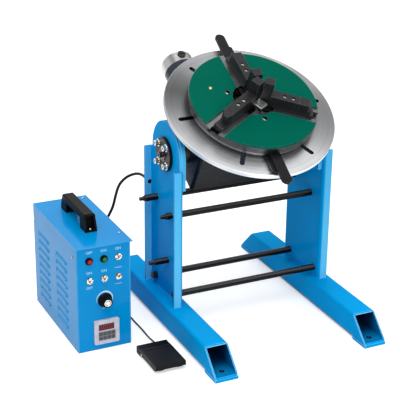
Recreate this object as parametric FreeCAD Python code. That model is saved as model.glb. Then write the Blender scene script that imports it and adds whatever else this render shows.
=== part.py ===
"""Bench welding positioner: a tilting, motor-driven turntable with a three-jaw scroll chuck,
carried between two uprights on a pair of open tube feet, with its control box and foot switch.

Millimetres. X runs along the tie rods, +Y to the back, +Z up. The origin lies on the floor,
at the centre of the four anchor holes. The head is drawn with its table level and its
local origin at the centre of the table top, and is then tilted about the trunnions."""
import FreeCAD
import Part
import math
import os

V = FreeCAD.Vector
X_AXIS, Y_AXIS, Z_AXIS = V(1, 0, 0), V(0, 1, 0), V(0, 0, 1)

# ---------------------------------------------------------------- clearances
FIT_CLEARANCE = 0.05        # radial, for shafts, screws and rods in their holes
RUN_GAP = 0.3               # between faces that move past each other
DRIVE_GAP = 0.3             # each side, between a scroll tooth and its groove

# ---------------------------------------------------------------- feet
FOOT_SPACING = 380.0        # between the centre lines of the two feet
FOOT_WIDTH = 56.0
FOOT_HEIGHT = 56.0
FOOT_WALL = 3.5
FOOT_CORNER_R = 5.5           # outer radius of the tube's corners
FOOT_LENGTH = 624.0         # along the bottom edge
FOOT_MITRE = 58.0           # each end leans back by this much at the top
PAD_THICKNESS = 7.0
PAD_LENGTH = 56.0
ANCHOR_INSET = 27.0           # from each end of the foot to its anchor hole
ANCHOR_HOLE_D = 14.0

# ---------------------------------------------------------------- uprights
UPRIGHT_WIDTH = 175.0       # across the channel
UPRIGHT_Y = 25.5            # its centre line, a little behind the middle of the feet
UPRIGHT_DEPTH = 23.0
UPRIGHT_SHEET = 6.0
UPRIGHT_BEND = 9.0          # outer radius of the folds
UPRIGHT_INSET = 14.0        # from the outer edge of the foot to the flange edge
FRONT_FLANGE_TOP = 396.0
REAR_FLANGE_TOP = 408.0
WEB_TOP_RADIUS = 77.0       # the web ends in a half round about the pivot
PIVOT_Z = 413.0
PLATE_THICKNESS = 9.0       # doubler inside each web
PLATE_DROP = 66.0           # how far the doubler reaches below the pivot

# ---------------------------------------------------------------- pivot
BEARING_FLANGE_D = 80.0
BEARING_FLANGE_T = 8.0
FLANGE_BOLT_PCD = 62.0
FLANGE_BOLT_COUNT = 4
TRUNNION_D = 25.0
BUSH_WALL = 3.5
COLLAR_D = 56.0
TILT = 28.5                 # the table leans forward by this angle at rest
TABLE_RISE = 110.0          # from the pivot up to the table top, square to the table

# ---------------------------------------------------------------- screws
M8_D, M8_HEAD_D, M8_HEAD_H = 8.0, 13.0, 8.0
M10_D, M10_HEAD_D, M10_HEAD_H = 10.0, 16.0, 10.0
WASHER_T = 1.6

# ---------------------------------------------------------------- tie rods and pegs
ROD_D = 16.0
UPPER_FRONT_ROD = (-7.5, 273.0)     # y, z of each rod
UPPER_BACK_ROD = (75.0, 291.0)
LOWER_FRONT_ROD = (-38.0, 87.0)
LOWER_BACK_ROD = (81.0, 85.5)
FRONT_PEG_REACH = 28.0              # how far the upper rods stand out of the left web
BACK_PEG_REACH = 45.0
HANGING_PEG = (12.5, 153.0)
HANGING_PEG_D = 15.0
HANGING_PEG_REACH = 48.0
PEG_TAPER = 8.0
PEG_TIP_D = 9.0
PEG_TIP_LENGTH = 7.0

# ---------------------------------------------------------------- tilting housing (local)
HOUSING_HALF_WIDTH = 140.0
HOUSING_FRONT = -73.0
HOUSING_BACK = 100.0
HOUSING_TOP = -24.0
HOUSING_BOTTOM = -163.0
HOUSING_SHEET = 3.0
HOUSING_BEND = 8.0

# ---------------------------------------------------------------- turntable (local)
TABLE_D = 400.0
TABLE_T = 12.0
SLOT_WIDTH = 11.0
SLOT_INNER_R = 98.0
SLOT_OUTER_R = 179.5
SLOT_COUNT = 6
SPINDLE_D = 30.0
SPINDLE_FLANGE_D = 120.0
SPINDLE_FLANGE_T = 10.0
SPINDLE_BOSS_D = 50.0
SPINDLE_BOSS_H = 6.0
SPINDLE_END = -155.0
BEARING_D = 62.0
BEARING_T = 16.0
BEARING_HOUSING_D = 76.0
BEARING_HOUSING_END = -118.0
UPPER_BEARING_TOP = -30.0
LOWER_BEARING_TOP = -101.0
HUB_SCREW_PCD = 84.0

# ---------------------------------------------------------------- gear pair and motor (local)
GEAR_MODULE = 2.0
SPINDLE_GEAR_TEETH = 36
PINION_TEETH = 18
GEAR_FACE = 14.0
GEAR_TOP = -128.0
GEAR_BACKLASH = 0.3
PINION_SHAFT_D = 12.0
MOTOR_X = -74.0
MOTOR_Z = -70.0
MOTOR_D = 79.0
MOTOR_FACE = 45.0           # where the motor meets the gearhead
MOTOR_TUBE_END = 214.0
MOTOR_END = 246.0
GEARHEAD_FRONT = -32.0
GEARHEAD_SIDES = (-110.0, -40.0)
GEARHEAD_BOTTOM = -114.0
BRUSH_CAP_D = 20.0
BRUSH_CAP_H = 3.0

# ---------------------------------------------------------------- chuck (local, heights above the table)
CHUCK_D = 302.0
CHUCK_BORE = 100.0
CHUCK_BASE_T = 6.0
SCROLL_T = 9.6
SCROLL_INSET = 5.0            # of the scroll's rim inside the body's rim
HUB_OUTER_D = 138.0
BODY_TOP = 30.8
FACE_TOP = 34.8
FACE_MARGIN = 1.5             # of the painted face inside the body's rim
SCROLL_PITCH = 12.0
SCROLL_RIM_WALL = 4.4         # left outside the last turn of the groove
SCROLL_START_R = 75.0
GROOVE_WIDTH = 6.0
GROOVE_DEPTH = 5.0
JAW_ANGLES = (-150.0, -30.0, 90.0)
JAW_TRAVEL = 42.0           # three and a half turns of the scroll
JAW_NECK = 24.0             # width of the narrow part of the jaw slot
JAW_FOOT = 36.0             # width of the tee under it
JAW_FOOT_BOTTOM = 20.0
JAW_FOOT_TOP = 26.0
RECESS_WIDTH = 51.0         # the face plate is cut back to bare rails beside each jaw
MASTER_TIP_R = 4.0
MASTER_END_INSET = 14.0       # from the body's rim
MASTER_TOP = 38.0
TOP_JAW_WIDTH = 25.0
TOP_JAW_INNER_R = 11.4
TOP_JAW_END_INSET = 21.0      # from the body's rim
TOP_JAW_HEIGHT = 65.0
NOSE_WIDTH = 21.0
NOSE_LENGTH = 21.5
NOSE_HEIGHT = 98.0
TOP_JAW_SHIFTS = (-11.5, 0.0, 0.0)  # one top jaw is bolted further in on its serrations
TOP_JAW_SCREW_RS = (64.0, 84.0)
TOP_JAW_SPLIT_R = 98.0        # one jaw is parted by a saw cut across its top and sides
TOP_JAW_SPLIT = (1.2, 1.5)    # width and depth of that cut
SPLIT_JAW = 1                 # which jaw has the cut
ROUNDED_JAW = 2               # which jaw has a rounded outer end
FACE_HOLE_PCD = 123.0
FACE_HOLE_D = 10.0
FACE_HOLE_ANGLES = (150.0, -90.0, 30.0)
LOCATING_PIN = (101.4, 150.7)       # radius, angle
LOCATING_PIN_D = 8.0
CHUCK_BOLT_INSET = 31.0       # from the body's rim
LEVER_ANGLE = -93.7
LEVER_REACH = 91.0            # beyond the scroll's rim
LEVER_WIDTH = 24.0
LEVER_T = 5.6
LEVER_STRAP_REACH = 59.0
LEVER_STRAP_OFFSET = 9.0

# ---------------------------------------------------------------- control box
BOX_X = -441.4              # left front bottom corner
BOX_Y = -64.6
BOX_WIDTH = 128.0
BOX_DEPTH = 296.5
BOX_HEIGHT = 256.0
BOX_SHEET = 2.0
BOX_DRIP_EDGE = 6.0         # the lid stands over the right side by this much
PANEL_COLUMNS = (30.0, 65.0, 99.0)
BUTTON_ROW_DROP = 32.0        # each row below the lid
TOGGLE_ROW_DROP = 80.0
KNOB_DROP = 133.0
BUTTON_D = 10.5
BUTTON_BODY_WALL = 2.0
BUTTON_BEZEL_D = 17.5
BUTTON_BEZEL_T = 2.5
BUTTON_GUARD = 6.0            # how far the collar stands out round the button
BUTTON_HEIGHT = 8.5
TOGGLE_NUT_D = 17.0
TOGGLE_NUT_T = 3.0
TOGGLE_PIVOT = 4.0            # of the lever, in front of the panel
TOGGLE_REST = -14.0           # the lever points up by this angle at rest
TOGGLE_BUSH_D = 7.0
TOGGLE_BORE_D = 5.2
TOGGLE_LENGTH = 17.0
KNOB_D = 34.0
KNOB_HEIGHT = 17.0
KNOB_CAP_D = 18.0
TIMER_SIZE = 60.0
TIMER_CENTRE = (67.5, 44.5)
TIMER_PROUD = 5.0
LOUVRE_ROWS = 9
LOUVRE_PITCH = 20.0
LOUVRE_TOP_DROP = 55.0        # of the highest louvre below the lid
LOUVRE_LENGTH = 76.0
LOUVRE_COLUMNS = (62.0, 186.0)      # where each column starts, from the front
LOUVRE_HEIGHT = 9.0
LOUVRE_PROUD = 4.0
HANDLE_LENGTH = 164.0
HANDLE_WIDTH = 28.0
HANDLE_HEIGHT = 40.0
HANDLE_Y = 79.0             # from the front of the box to the front foot
HANDLE_X = 52.0
HANDLE_GRIP_T = 14.0
HANDLE_RIM = 4.5              # left round the screw pocket in each foot
HANDLE_POCKET = 17.0          # its depth

# ---------------------------------------------------------------- foot switch
PEDAL_X = -321.0
PEDAL_Y = -224.5
PEDAL_WIDTH = 73.0
PEDAL_DEPTH = 110.0
PEDAL_HEIGHT = 20.0
PEDAL_HINGE = (30.0, 9.0)   # from the back edge, and above the floor
PEDAL_PIN_D = 5.0
PEDAL_WALL = 2.5
PEDAL_PRESS = 3.5           # degrees of travel

# ---------------------------------------------------------------- cables
MAIN_CABLE_D = 7.0
PEDAL_CABLE_D = 4.0
GLAND_Z = 318.0
GLAND_X = -192.0
CABLE_BOOT = 6.0            # how far the lead's boot stands out of the foot switch
BOARD_MARGIN = 14.0           # of the speed board, from each side of the box
BOARD_FRONT = 60.0            # behind the front panel
BOARD_DEPTH = 90.0
BOARD_Z = 20.0
BOARD_T = 1.6
SINK_HEIGHT = 23.4
CAPACITOR_HEIGHT = 28.4
COIL_R = 26.0                 # of the ring transformer
COIL_WIRE_R = 13.0
COIL_FROM_BACK = 96.5
SOCKET_X = 78.4             # of the main socket on the back of the box, from its left side
SOCKET_Z = 118.0
PEDAL_SOCKET_X = 104.0
PEDAL_SOCKET_Z = 34.0

# ---------------------------------------------------------------- derived
FOOT_TOP = PAD_THICKNESS + FOOT_HEIGHT
SCROLL_OUTER_D = CHUCK_D - 2 * SCROLL_INSET
FACE_D = CHUCK_D - 2 * FACE_MARGIN
SCROLL_TURNS = (SCROLL_OUTER_D / 2 - SCROLL_RIM_WALL - GROOVE_WIDTH / 2 - SCROLL_START_R) / SCROLL_PITCH
MASTER_OUTER_R = CHUCK_D / 2 - MASTER_END_INSET
TOP_JAW_OUTER_R = CHUCK_D / 2 - TOP_JAW_END_INSET
CHUCK_BOLT_R = CHUCK_D / 2 - CHUCK_BOLT_INSET
LEVER_TIP_R = SCROLL_OUTER_D / 2 + LEVER_REACH
LEVER_STRAP_TIP_R = SCROLL_OUTER_D / 2 + LEVER_STRAP_REACH
BUTTON_ROW_Z = BOX_HEIGHT - BUTTON_ROW_DROP
TOGGLE_ROW_Z = BOX_HEIGHT - TOGGLE_ROW_DROP
KNOB_Z = BOX_HEIGHT - KNOB_DROP
LOUVRE_TOP_Z = BOX_HEIGHT - LOUVRE_TOP_DROP
BUTTON_BODY_D = BUTTON_D + 2 * BUTTON_BODY_WALL
FLANGE_EDGE_X = FOOT_SPACING / 2 + FOOT_WIDTH / 2 - UPRIGHT_INSET
WEB_INNER_X = FLANGE_EDGE_X - UPRIGHT_DEPTH
WEB_OUTER_X = WEB_INNER_X + UPRIGHT_SHEET
PLATE_INNER_X = WEB_INNER_X - PLATE_THICKNESS
FLANGE_FACE_X = WEB_OUTER_X + BEARING_FLANGE_T
BUSH_D = TRUNNION_D + 2 * BUSH_WALL
SCROLL_BOTTOM = CHUCK_BASE_T + RUN_GAP
SCROLL_TOP = SCROLL_BOTTOM + SCROLL_T
BODY_BOTTOM = SCROLL_TOP + RUN_GAP
PINION_X = -GEAR_MODULE * (SPINDLE_GEAR_TEETH + PINION_TEETH) / 2
BOX_BACK = BOX_Y + BOX_DEPTH
PEDAL_BACK = PEDAL_Y + PEDAL_DEPTH


# ================================================================ helpers
def block(x0, x1, y0, y1, z0, z1):
    """A block between two corners."""
    return Part.makeBox(x1 - x0, y1 - y0, z1 - z0, V(x0, y0, z0))


def rod(diameter, start, end):
    """A round bar of one diameter between two points."""
    axis = end - start
    return Part.makeCylinder(diameter / 2, axis.Length, start, axis)


def disc(diameter, z0, z1, x=0.0, y=0.0):
    """An upright cylinder."""
    return Part.makeCylinder(diameter / 2, z1 - z0, V(x, y, z0))


def ring(outer_d, inner_d, z0, z1):
    """An upright tube."""
    return disc(outer_d, z0, z1).cut(disc(inner_d, z0, z1))


def polygon_face(points):
    """A flat face through the given points."""
    return Part.Face(Part.makePolygon(list(points) + [points[0]]))


def prism(points, direction):
    """A flat outline pushed along a direction."""
    return polygon_face(points).extrude(direction)


def turned(shape, angle):
    """A copy turned about the local Z axis."""
    copy = shape.copy()
    copy.rotate(V(0, 0, 0), Z_AXIS, angle)
    return copy


def moved(shape, x=0.0, y=0.0, z=0.0):
    """A copy moved by an offset."""
    copy = shape.copy()
    copy.translate(V(x, y, z))
    return copy


def mirrored_x(shape):
    """The same piece on the other side of the X = 0 plane."""
    return shape.mirror(V(0, 0, 0), X_AXIS)


def fuse(*shapes):
    """One clean solid from several."""
    result = shapes[0]
    for shape in shapes[1:]:
        result = result.fuse(shape)
    return result.removeSplitter()


def group(shapes):
    """Separate solids kept together in one node."""
    return Part.makeCompound(shapes)


def edges_along(shape, axis, test=None):
    """The straight edges parallel to an axis whose middle passes the test."""
    chosen = []
    for edge in shape.Edges:
        if not isinstance(edge.Curve, (Part.Line, Part.LineSegment)):
            continue
        direction = edge.Vertexes[-1].Point - edge.Vertexes[0].Point
        if direction.Length > 1e-6 and abs(abs(direction.normalize().dot(axis)) - 1) < 1e-6:
            middle = edge.CenterOfMass
            if test is None or test(middle):
                chosen.append(edge)
    return chosen


def on_head(shape):
    """Carry a piece from the level local frame to its tilted place between the uprights."""
    copy = shape.copy()
    copy.translate(V(0, UPRIGHT_Y, PIVOT_Z + TABLE_RISE))
    copy.rotate(V(0, UPRIGHT_Y, PIVOT_Z), X_AXIS, TILT)
    return copy


def cap_screw(diameter, head_d, head_h, shank, seat, direction):
    """A socket-head cap screw whose head sits at `seat` and whose shank runs along `direction`."""
    head = Part.makeCylinder(head_d / 2, head_h, seat, direction * -1)
    key = Part.makeCylinder(diameter * 0.38, head_h * 0.5, seat - direction * head_h, direction)
    stem = Part.makeCylinder(diameter / 2 - FIT_CLEARANCE, shank, seat, direction)
    return fuse(head.cut(key), stem)


def washer(diameter, hole_d, seat, direction):
    """A plain washer standing on `seat`, away from `direction`."""
    outer = Part.makeCylinder(diameter / 2, WASHER_T, seat, direction * -1)
    return outer.cut(Part.makeCylinder(hole_d / 2 + FIT_CLEARANCE, WASHER_T, seat, direction * -1))


# ================================================================ frame
def foot(side):
    """An open rectangular tube with mitred ends, on a pad under each end."""
    x0 = side * FOOT_SPACING / 2 - FOOT_WIDTH / 2
    half = FOOT_LENGTH / 2
    low, high = PAD_THICKNESS, FOOT_TOP
    outline = [V(x0, -half, low), V(x0, half, low),
               V(x0, half - FOOT_MITRE, high), V(x0, -half + FOOT_MITRE, high)]
    tube = prism(outline, X_AXIS * FOOT_WIDTH)
    tube = tube.makeFillet(FOOT_CORNER_R, edges_along(tube, Y_AXIS))
    inside = block(x0 + FOOT_WALL, x0 + FOOT_WIDTH - FOOT_WALL, -half, half,
                   low + FOOT_WALL, high - FOOT_WALL)
    tube = tube.cut(inside.makeFillet(FOOT_CORNER_R - FOOT_WALL, edges_along(inside, Y_AXIS)))
    x_mid = side * FOOT_SPACING / 2
    for end in (-1, 1):
        edge = end * half
        inner = end * (half - PAD_LENGTH)
        pad = block(x0, x0 + FOOT_WIDTH, min(edge, inner), max(edge, inner), 0, low)
        pad = pad.makeChamfer(PAD_THICKNESS * 0.6, [e for e in edges_along(pad, X_AXIS)
                                                    if abs(e.CenterOfMass.y - inner) < 0.1
                                                    and e.CenterOfMass.z < 0.1])
        tube = tube.fuse(pad)
        tube = tube.cut(disc(ANCHOR_HOLE_D, -1, low + FOOT_WALL + 1, x_mid, end * (half - ANCHOR_INSET)))
    return tube.removeSplitter()


def web_outline(radius, bottom, x):
    """The half-round topped outline shared by the web and its doubler, at one X."""
    left, right = V(x, UPRIGHT_Y - radius, bottom), V(x, UPRIGHT_Y + radius, bottom)
    top_left, top_right = V(x, UPRIGHT_Y - radius, PIVOT_Z), V(x, UPRIGHT_Y + radius, PIVOT_Z)
    crown = V(x, UPRIGHT_Y, PIVOT_Z + radius)
    edges = [Part.LineSegment(left, right).toShape(), Part.LineSegment(right, top_right).toShape(),
             Part.Arc(top_right, crown, top_left).toShape(), Part.LineSegment(top_left, left).toShape()]
    return Part.Face(Part.Wire(edges))


def rod_holes(x0, x1):
    """The clearance holes for the tie rods' screws on the right side."""
    return [rod(M10_D, V(x0, y, z), V(x1, y, z)) for y, z in
            (UPPER_FRONT_ROD, UPPER_BACK_ROD, LOWER_FRONT_ROD, LOWER_BACK_ROD)]


def upright(side):
    """A folded channel, open outwards, whose web runs up to a half round about the pivot."""
    half = UPRIGHT_WIDTH / 2
    bottom, top = FOOT_TOP, REAR_FLANGE_TOP
    channel = block(WEB_INNER_X, FLANGE_EDGE_X, UPRIGHT_Y - half, UPRIGHT_Y + half, bottom, top)
    channel = channel.makeFillet(UPRIGHT_BEND, edges_along(channel, Z_AXIS,
                                                           lambda p: abs(p.x - WEB_INNER_X) < 0.1))
    hollow = block(WEB_OUTER_X, FLANGE_EDGE_X + 1, UPRIGHT_Y - half + UPRIGHT_SHEET,
                   UPRIGHT_Y + half - UPRIGHT_SHEET, bottom - 1, top + 1)
    hollow = hollow.makeFillet(UPRIGHT_BEND - UPRIGHT_SHEET, edges_along(
        hollow, Z_AXIS, lambda p: abs(p.x - WEB_OUTER_X) < 0.1))
    channel = channel.cut(hollow)
    channel = channel.cut(block(WEB_INNER_X - 1, FLANGE_EDGE_X + 1, UPRIGHT_Y - half - 1,
                                UPRIGHT_Y - WEB_TOP_RADIUS, FRONT_FLANGE_TOP, top + 1))
    web = web_outline(WEB_TOP_RADIUS, FRONT_FLANGE_TOP - UPRIGHT_WIDTH, WEB_INNER_X).extrude(
        X_AXIS * UPRIGHT_SHEET)
    body = fuse(channel, web)
    pivot = V(WEB_INNER_X - 1, UPRIGHT_Y, PIVOT_Z)
    cuts = [rod(BUSH_D, pivot, pivot + X_AXIS * (UPRIGHT_DEPTH + 2))]
    for y, z in bolt_circle_yz():
        cuts.append(rod(M8_D + 2 * FIT_CLEARANCE, V(WEB_INNER_X - 1, y, z), V(WEB_OUTER_X + 1, y, z)))
    if side > 0:
        cuts += rod_holes(WEB_INNER_X - 1, WEB_OUTER_X + 1)
    else:
        for y, z in (UPPER_FRONT_ROD, UPPER_BACK_ROD):
            cuts.append(rod(ROD_D + 2 * FIT_CLEARANCE, V(WEB_INNER_X - 1, y, z), V(WEB_OUTER_X + 1, y, z)))
        for y, z in (LOWER_FRONT_ROD, LOWER_BACK_ROD):
            cuts.append(rod(M10_D, V(WEB_INNER_X - 1, y, z), V(WEB_OUTER_X + 1, y, z)))
        y, z = HANGING_PEG
        cuts.append(rod(HANGING_PEG_D + 2 * FIT_CLEARANCE, V(WEB_INNER_X - 1, y, z),
                        V(WEB_OUTER_X + 1, y, z)))
        back = UPRIGHT_Y + half
        cuts.append(rod(MAIN_CABLE_D + 4, V(-GLAND_X, back - UPRIGHT_SHEET - 1, GLAND_Z),
                        V(-GLAND_X, back + 1, GLAND_Z)))
    body = body.cut(group(cuts)).removeSplitter()
    return body if side > 0 else mirrored_x(body)


def bolt_circle_yz():
    """Where the bearing flange's bolts stand, as y and z."""
    places = []
    for index in range(FLANGE_BOLT_COUNT):
        angle = math.radians(45 + index * 360.0 / FLANGE_BOLT_COUNT)
        places.append((UPRIGHT_Y + FLANGE_BOLT_PCD / 2 * math.cos(angle),
                       PIVOT_Z + FLANGE_BOLT_PCD / 2 * math.sin(angle)))
    return places


def pivot_drilled(plate, x0, x1):
    """Bore a plate for the bush and drill it for the flange bolts."""
    cuts = [rod(BUSH_D, V(x0 - 1, UPRIGHT_Y, PIVOT_Z), V(x1 + 1, UPRIGHT_Y, PIVOT_Z))]
    for y, z in bolt_circle_yz():
        cuts.append(rod(M8_D + 2 * FIT_CLEARANCE, V(x0 - 1, y, z), V(x1 + 1, y, z)))
    return plate.cut(group(cuts))


def pivot_plate():
    """The doubler welded inside the web."""
    plate = web_outline(WEB_TOP_RADIUS, PIVOT_Z - PLATE_DROP, PLATE_INNER_X).extrude(
        X_AXIS * PLATE_THICKNESS)
    return pivot_drilled(plate, PLATE_INNER_X, WEB_INNER_X)


def bearing_flange():
    """The black disc bolted over the outside of each pivot."""
    flange = rod(BEARING_FLANGE_D, V(WEB_OUTER_X, UPRIGHT_Y, PIVOT_Z),
                 V(FLANGE_FACE_X, UPRIGHT_Y, PIVOT_Z))
    rim = [e for e in flange.Edges if abs(e.BoundBox.XLength) < 1e-6 and e.CenterOfMass.x > WEB_OUTER_X + 1]
    flange = flange.makeChamfer(1.0, rim)
    return pivot_drilled(flange, WEB_OUTER_X, FLANGE_FACE_X)


def pivot_bush():
    """The plain bush that runs through doubler, web and flange."""
    start, end = V(PLATE_INNER_X, UPRIGHT_Y, PIVOT_Z), V(FLANGE_FACE_X, UPRIGHT_Y, PIVOT_Z)
    return rod(BUSH_D, start, end).cut(rod(TRUNNION_D + 2 * FIT_CLEARANCE, start, end))


def flange_bolts():
    """Cap screws and washers on one bearing flange."""
    solids = []
    for y, z in bolt_circle_yz():
        seat = V(FLANGE_FACE_X + WASHER_T, y, z)
        solids.append(washer(M8_HEAD_D + 5, M8_D, V(FLANGE_FACE_X, y, z), X_AXIS * -1))
        solids.append(cap_screw(M8_D, M8_HEAD_D, M8_HEAD_H,
                                BEARING_FLANGE_T + UPRIGHT_SHEET + PLATE_THICKNESS + WASHER_T - 1,
                                seat, X_AXIS * -1))
    return solids


def peg(diameter, x_root, reach, y, z):
    """A round peg that stands out to the left and narrows to a small tip."""
    tip = x_root - reach
    body_end = tip + PEG_TIP_LENGTH + PEG_TAPER
    taper = Part.makeCone(diameter / 2, PEG_TIP_D / 2, PEG_TAPER, V(body_end, y, z), X_AXIS * -1)
    point = rod(PEG_TIP_D, V(tip + PEG_TIP_LENGTH, y, z), V(tip, y, z))
    body = rod(diameter, V(x_root, y, z), V(body_end, y, z))
    return fuse(body, taper, point)


def tie_rods():
    """The four tie rods: the upper two run on through the left web as pegs."""
    solids = []
    for (y, z), reach in ((UPPER_FRONT_ROD, FRONT_PEG_REACH), (UPPER_BACK_ROD, BACK_PEG_REACH)):
        bar = rod(ROD_D, V(-WEB_OUTER_X, y, z), V(WEB_INNER_X, y, z))
        bar = fuse(bar, peg(ROD_D, -WEB_OUTER_X, reach, y, z))
        solids.append(bar.cut(rod(M10_D, V(WEB_INNER_X - 25, y, z), V(WEB_INNER_X, y, z))))
    for y, z in (LOWER_FRONT_ROD, LOWER_BACK_ROD):
        bar = rod(ROD_D, V(-WEB_INNER_X, y, z), V(WEB_INNER_X, y, z))
        for side in (-1, 1):
            bar = bar.cut(rod(M10_D, V(side * (WEB_INNER_X - 25), y, z), V(side * WEB_INNER_X, y, z)))
        solids.append(bar)
    return group(solids)


def tie_rod_bolts():
    """The cap screws and washers that pull the rods against the webs."""
    solids = []
    rods = [(1, place) for place in (UPPER_FRONT_ROD, UPPER_BACK_ROD, LOWER_FRONT_ROD, LOWER_BACK_ROD)]
    rods += [(-1, place) for place in (LOWER_FRONT_ROD, LOWER_BACK_ROD)]
    for side, (y, z) in rods:
        inward = X_AXIS * -side
        face = V(side * WEB_OUTER_X, y, z)
        solids.append(washer(M10_HEAD_D + 5, M10_D, face, inward))
        solids.append(cap_screw(M10_D, M10_HEAD_D, M10_HEAD_H, UPRIGHT_SHEET + 22,
                                face - inward * WASHER_T, inward))
    return group(solids)


def hanging_peg():
    """The spare peg in the middle of the left web, where leads are hung."""
    y, z = HANGING_PEG
    return fuse(rod(HANGING_PEG_D, V(-WEB_INNER_X, y, z), V(-WEB_OUTER_X, y, z)),
                peg(HANGING_PEG_D, -WEB_OUTER_X, HANGING_PEG_REACH, y, z))


def cable_gland():
    """The gland in the rear flange of the left upright."""
    back = UPRIGHT_Y + UPRIGHT_WIDTH / 2
    outer = MAIN_CABLE_D + 4
    start = V(GLAND_X, back - UPRIGHT_SHEET, GLAND_Z)
    stem = rod(outer - 2 * FIT_CLEARANCE, start, V(GLAND_X, back, GLAND_Z))
    nut = prism([V(GLAND_X + 9 * math.cos(math.radians(a)), back, GLAND_Z + 9 * math.sin(math.radians(a)))
                 for a in range(0, 360, 60)], Y_AXIS * 5)
    dome = Part.makeCone(7.5, MAIN_CABLE_D / 2 + 1.2, 8, V(GLAND_X, back + 5, GLAND_Z), Y_AXIS)
    return fuse(stem, nut, dome)


# ================================================================ tilting housing
def tilt_housing():
    """The folded sheet box that hangs between the trunnions, open below."""
    outer = block(-HOUSING_HALF_WIDTH, HOUSING_HALF_WIDTH, HOUSING_FRONT, HOUSING_BACK,
                  HOUSING_BOTTOM, HOUSING_TOP)
    outer = outer.makeFillet(HOUSING_BEND, edges_along(outer, Z_AXIS))
    sheet = HOUSING_SHEET
    inner = block(-HOUSING_HALF_WIDTH + sheet, HOUSING_HALF_WIDTH - sheet, HOUSING_FRONT + sheet,
                  HOUSING_BACK - sheet, HOUSING_BOTTOM - 1, HOUSING_TOP - sheet)
    inner = inner.makeFillet(HOUSING_BEND - sheet, edges_along(inner, Z_AXIS))
    shell = outer.cut(inner)
    cuts = [disc(BEARING_HOUSING_D + 2 * FIT_CLEARANCE, HOUSING_TOP - sheet - 1, HOUSING_TOP + 1),
            rod(MOTOR_D + 3, V(MOTOR_X, HOUSING_BACK - sheet - 1, MOTOR_Z),
                V(MOTOR_X, HOUSING_BACK + 1, MOTOR_Z))]
    for side in (-1, 1):
        wall = side * (HOUSING_HALF_WIDTH - sheet)
        cuts.append(rod(TRUNNION_D + 2 * FIT_CLEARANCE, V(wall - side, 0, -TABLE_RISE),
                        V(wall + side * (sheet + 1), 0, -TABLE_RISE)))
    return shell.cut(group(cuts))


def housing_cover():
    """The bottom plate, with a turned-up lip that stands just proud at the front."""
    t = HOUSING_SHEET
    plate = block(-HOUSING_HALF_WIDTH, HOUSING_HALF_WIDTH, HOUSING_FRONT, HOUSING_BACK,
                  HOUSING_BOTTOM - t, HOUSING_BOTTOM)
    plate = plate.makeFillet(HOUSING_BEND, edges_along(plate, Z_AXIS))
    for index in range(5):
        x = (index - 2) * 40
        slot = block(x - 4, x + 4, 10, 70, HOUSING_BOTTOM - t - 1, HOUSING_BOTTOM + 1)
        slot = slot.makeFillet(3.9, edges_along(slot, Z_AXIS))
        plate = plate.cut(slot)
    return plate


def trunnion(side):
    """A flanged stub shaft: a square plate inside the wall, a collar outside it, then the journal."""
    wall_in = HOUSING_HALF_WIDTH - HOUSING_SHEET
    z = -TABLE_RISE
    base = block(wall_in - 8, wall_in, -28, 28, z - 28, z + 28)
    base = base.makeFillet(6, edges_along(base, X_AXIS))
    collar = rod(COLLAR_D, V(HOUSING_HALF_WIDTH, 0, z), V(PLATE_INNER_X - RUN_GAP, 0, z))
    shaft = rod(TRUNNION_D, V(wall_in - 1, 0, z), V(FLANGE_FACE_X + RUN_GAP, 0, z))
    piece = fuse(base, shaft, collar)
    tapped = rod(M8_D, V(FLANGE_FACE_X - 22, 0, z), V(FLANGE_FACE_X + 2, 0, z))
    piece = piece.cut(tapped)
    return piece if side > 0 else mirrored_x(piece)


def trunnion_screw(side):
    """The screw and large washer that keep a trunnion in its bush."""
    z = -TABLE_RISE
    face = V(FLANGE_FACE_X + RUN_GAP, 0, z)
    big = Part.makeCylinder(TRUNNION_D / 2 + 2.5, WASHER_T, face, X_AXIS)
    big = big.cut(Part.makeCylinder(M8_D / 2 + FIT_CLEARANCE, WASHER_T, face, X_AXIS))
    screw = cap_screw(M8_D, M8_HEAD_D, M8_HEAD_H, 18, face + X_AXIS * WASHER_T, X_AXIS * -1)
    solids = [big, screw]
    return solids if side > 0 else [mirrored_x(s) for s in solids]


def bearing_housing():
    """The tube that holds both spindle bearings, welded through the top of the housing."""
    body = ring(BEARING_HOUSING_D, BEARING_D - 8, BEARING_HOUSING_END, HOUSING_TOP)
    for top in (UPPER_BEARING_TOP, LOWER_BEARING_TOP):
        body = body.cut(disc(BEARING_D, top - BEARING_T, top))
    body = body.cut(disc(BEARING_D, UPPER_BEARING_TOP, HOUSING_TOP + 1))
    return body.cut(disc(BEARING_D, BEARING_HOUSING_END - 1, LOWER_BEARING_TOP - BEARING_T))


def spindle_bearings():
    """The two ball bearings, each as a grooved ring of full section."""
    solids = []
    for top in (UPPER_BEARING_TOP, LOWER_BEARING_TOP):
        body = ring(BEARING_D, SPINDLE_D + 2 * FIT_CLEARANCE, top - BEARING_T, top)
        groove_d = (BEARING_D + SPINDLE_D) / 2
        for z0 in (top - 1, top - BEARING_T):
            body = body.cut(ring(groove_d + 8, groove_d - 8, z0, z0 + 1))
        solids.append(body)
    return group(solids)


def gearhead():
    """The closed worm gearhead between the motor and the pinion, hung under the housing top."""
    x0, x1 = GEARHEAD_SIDES
    top = HOUSING_TOP - HOUSING_SHEET
    body = block(x0, x1, GEARHEAD_FRONT, MOTOR_FACE, GEARHEAD_BOTTOM, top)
    body = body.makeFillet(6, edges_along(body, Z_AXIS))
    boss = disc(26, GEARHEAD_BOTTOM - 6, GEARHEAD_BOTTOM, PINION_X, 0)
    worm_cap = rod(40, V(MOTOR_X, GEARHEAD_FRONT - 5, MOTOR_Z), V(MOTOR_X, GEARHEAD_FRONT, MOTOR_Z))
    bore = disc(PINION_SHAFT_D + 2 * FIT_CLEARANCE, GEARHEAD_BOTTOM - 7, GEARHEAD_BOTTOM + 30, PINION_X, 0)
    return fuse(body, boss, worm_cap).cut(bore)


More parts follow.
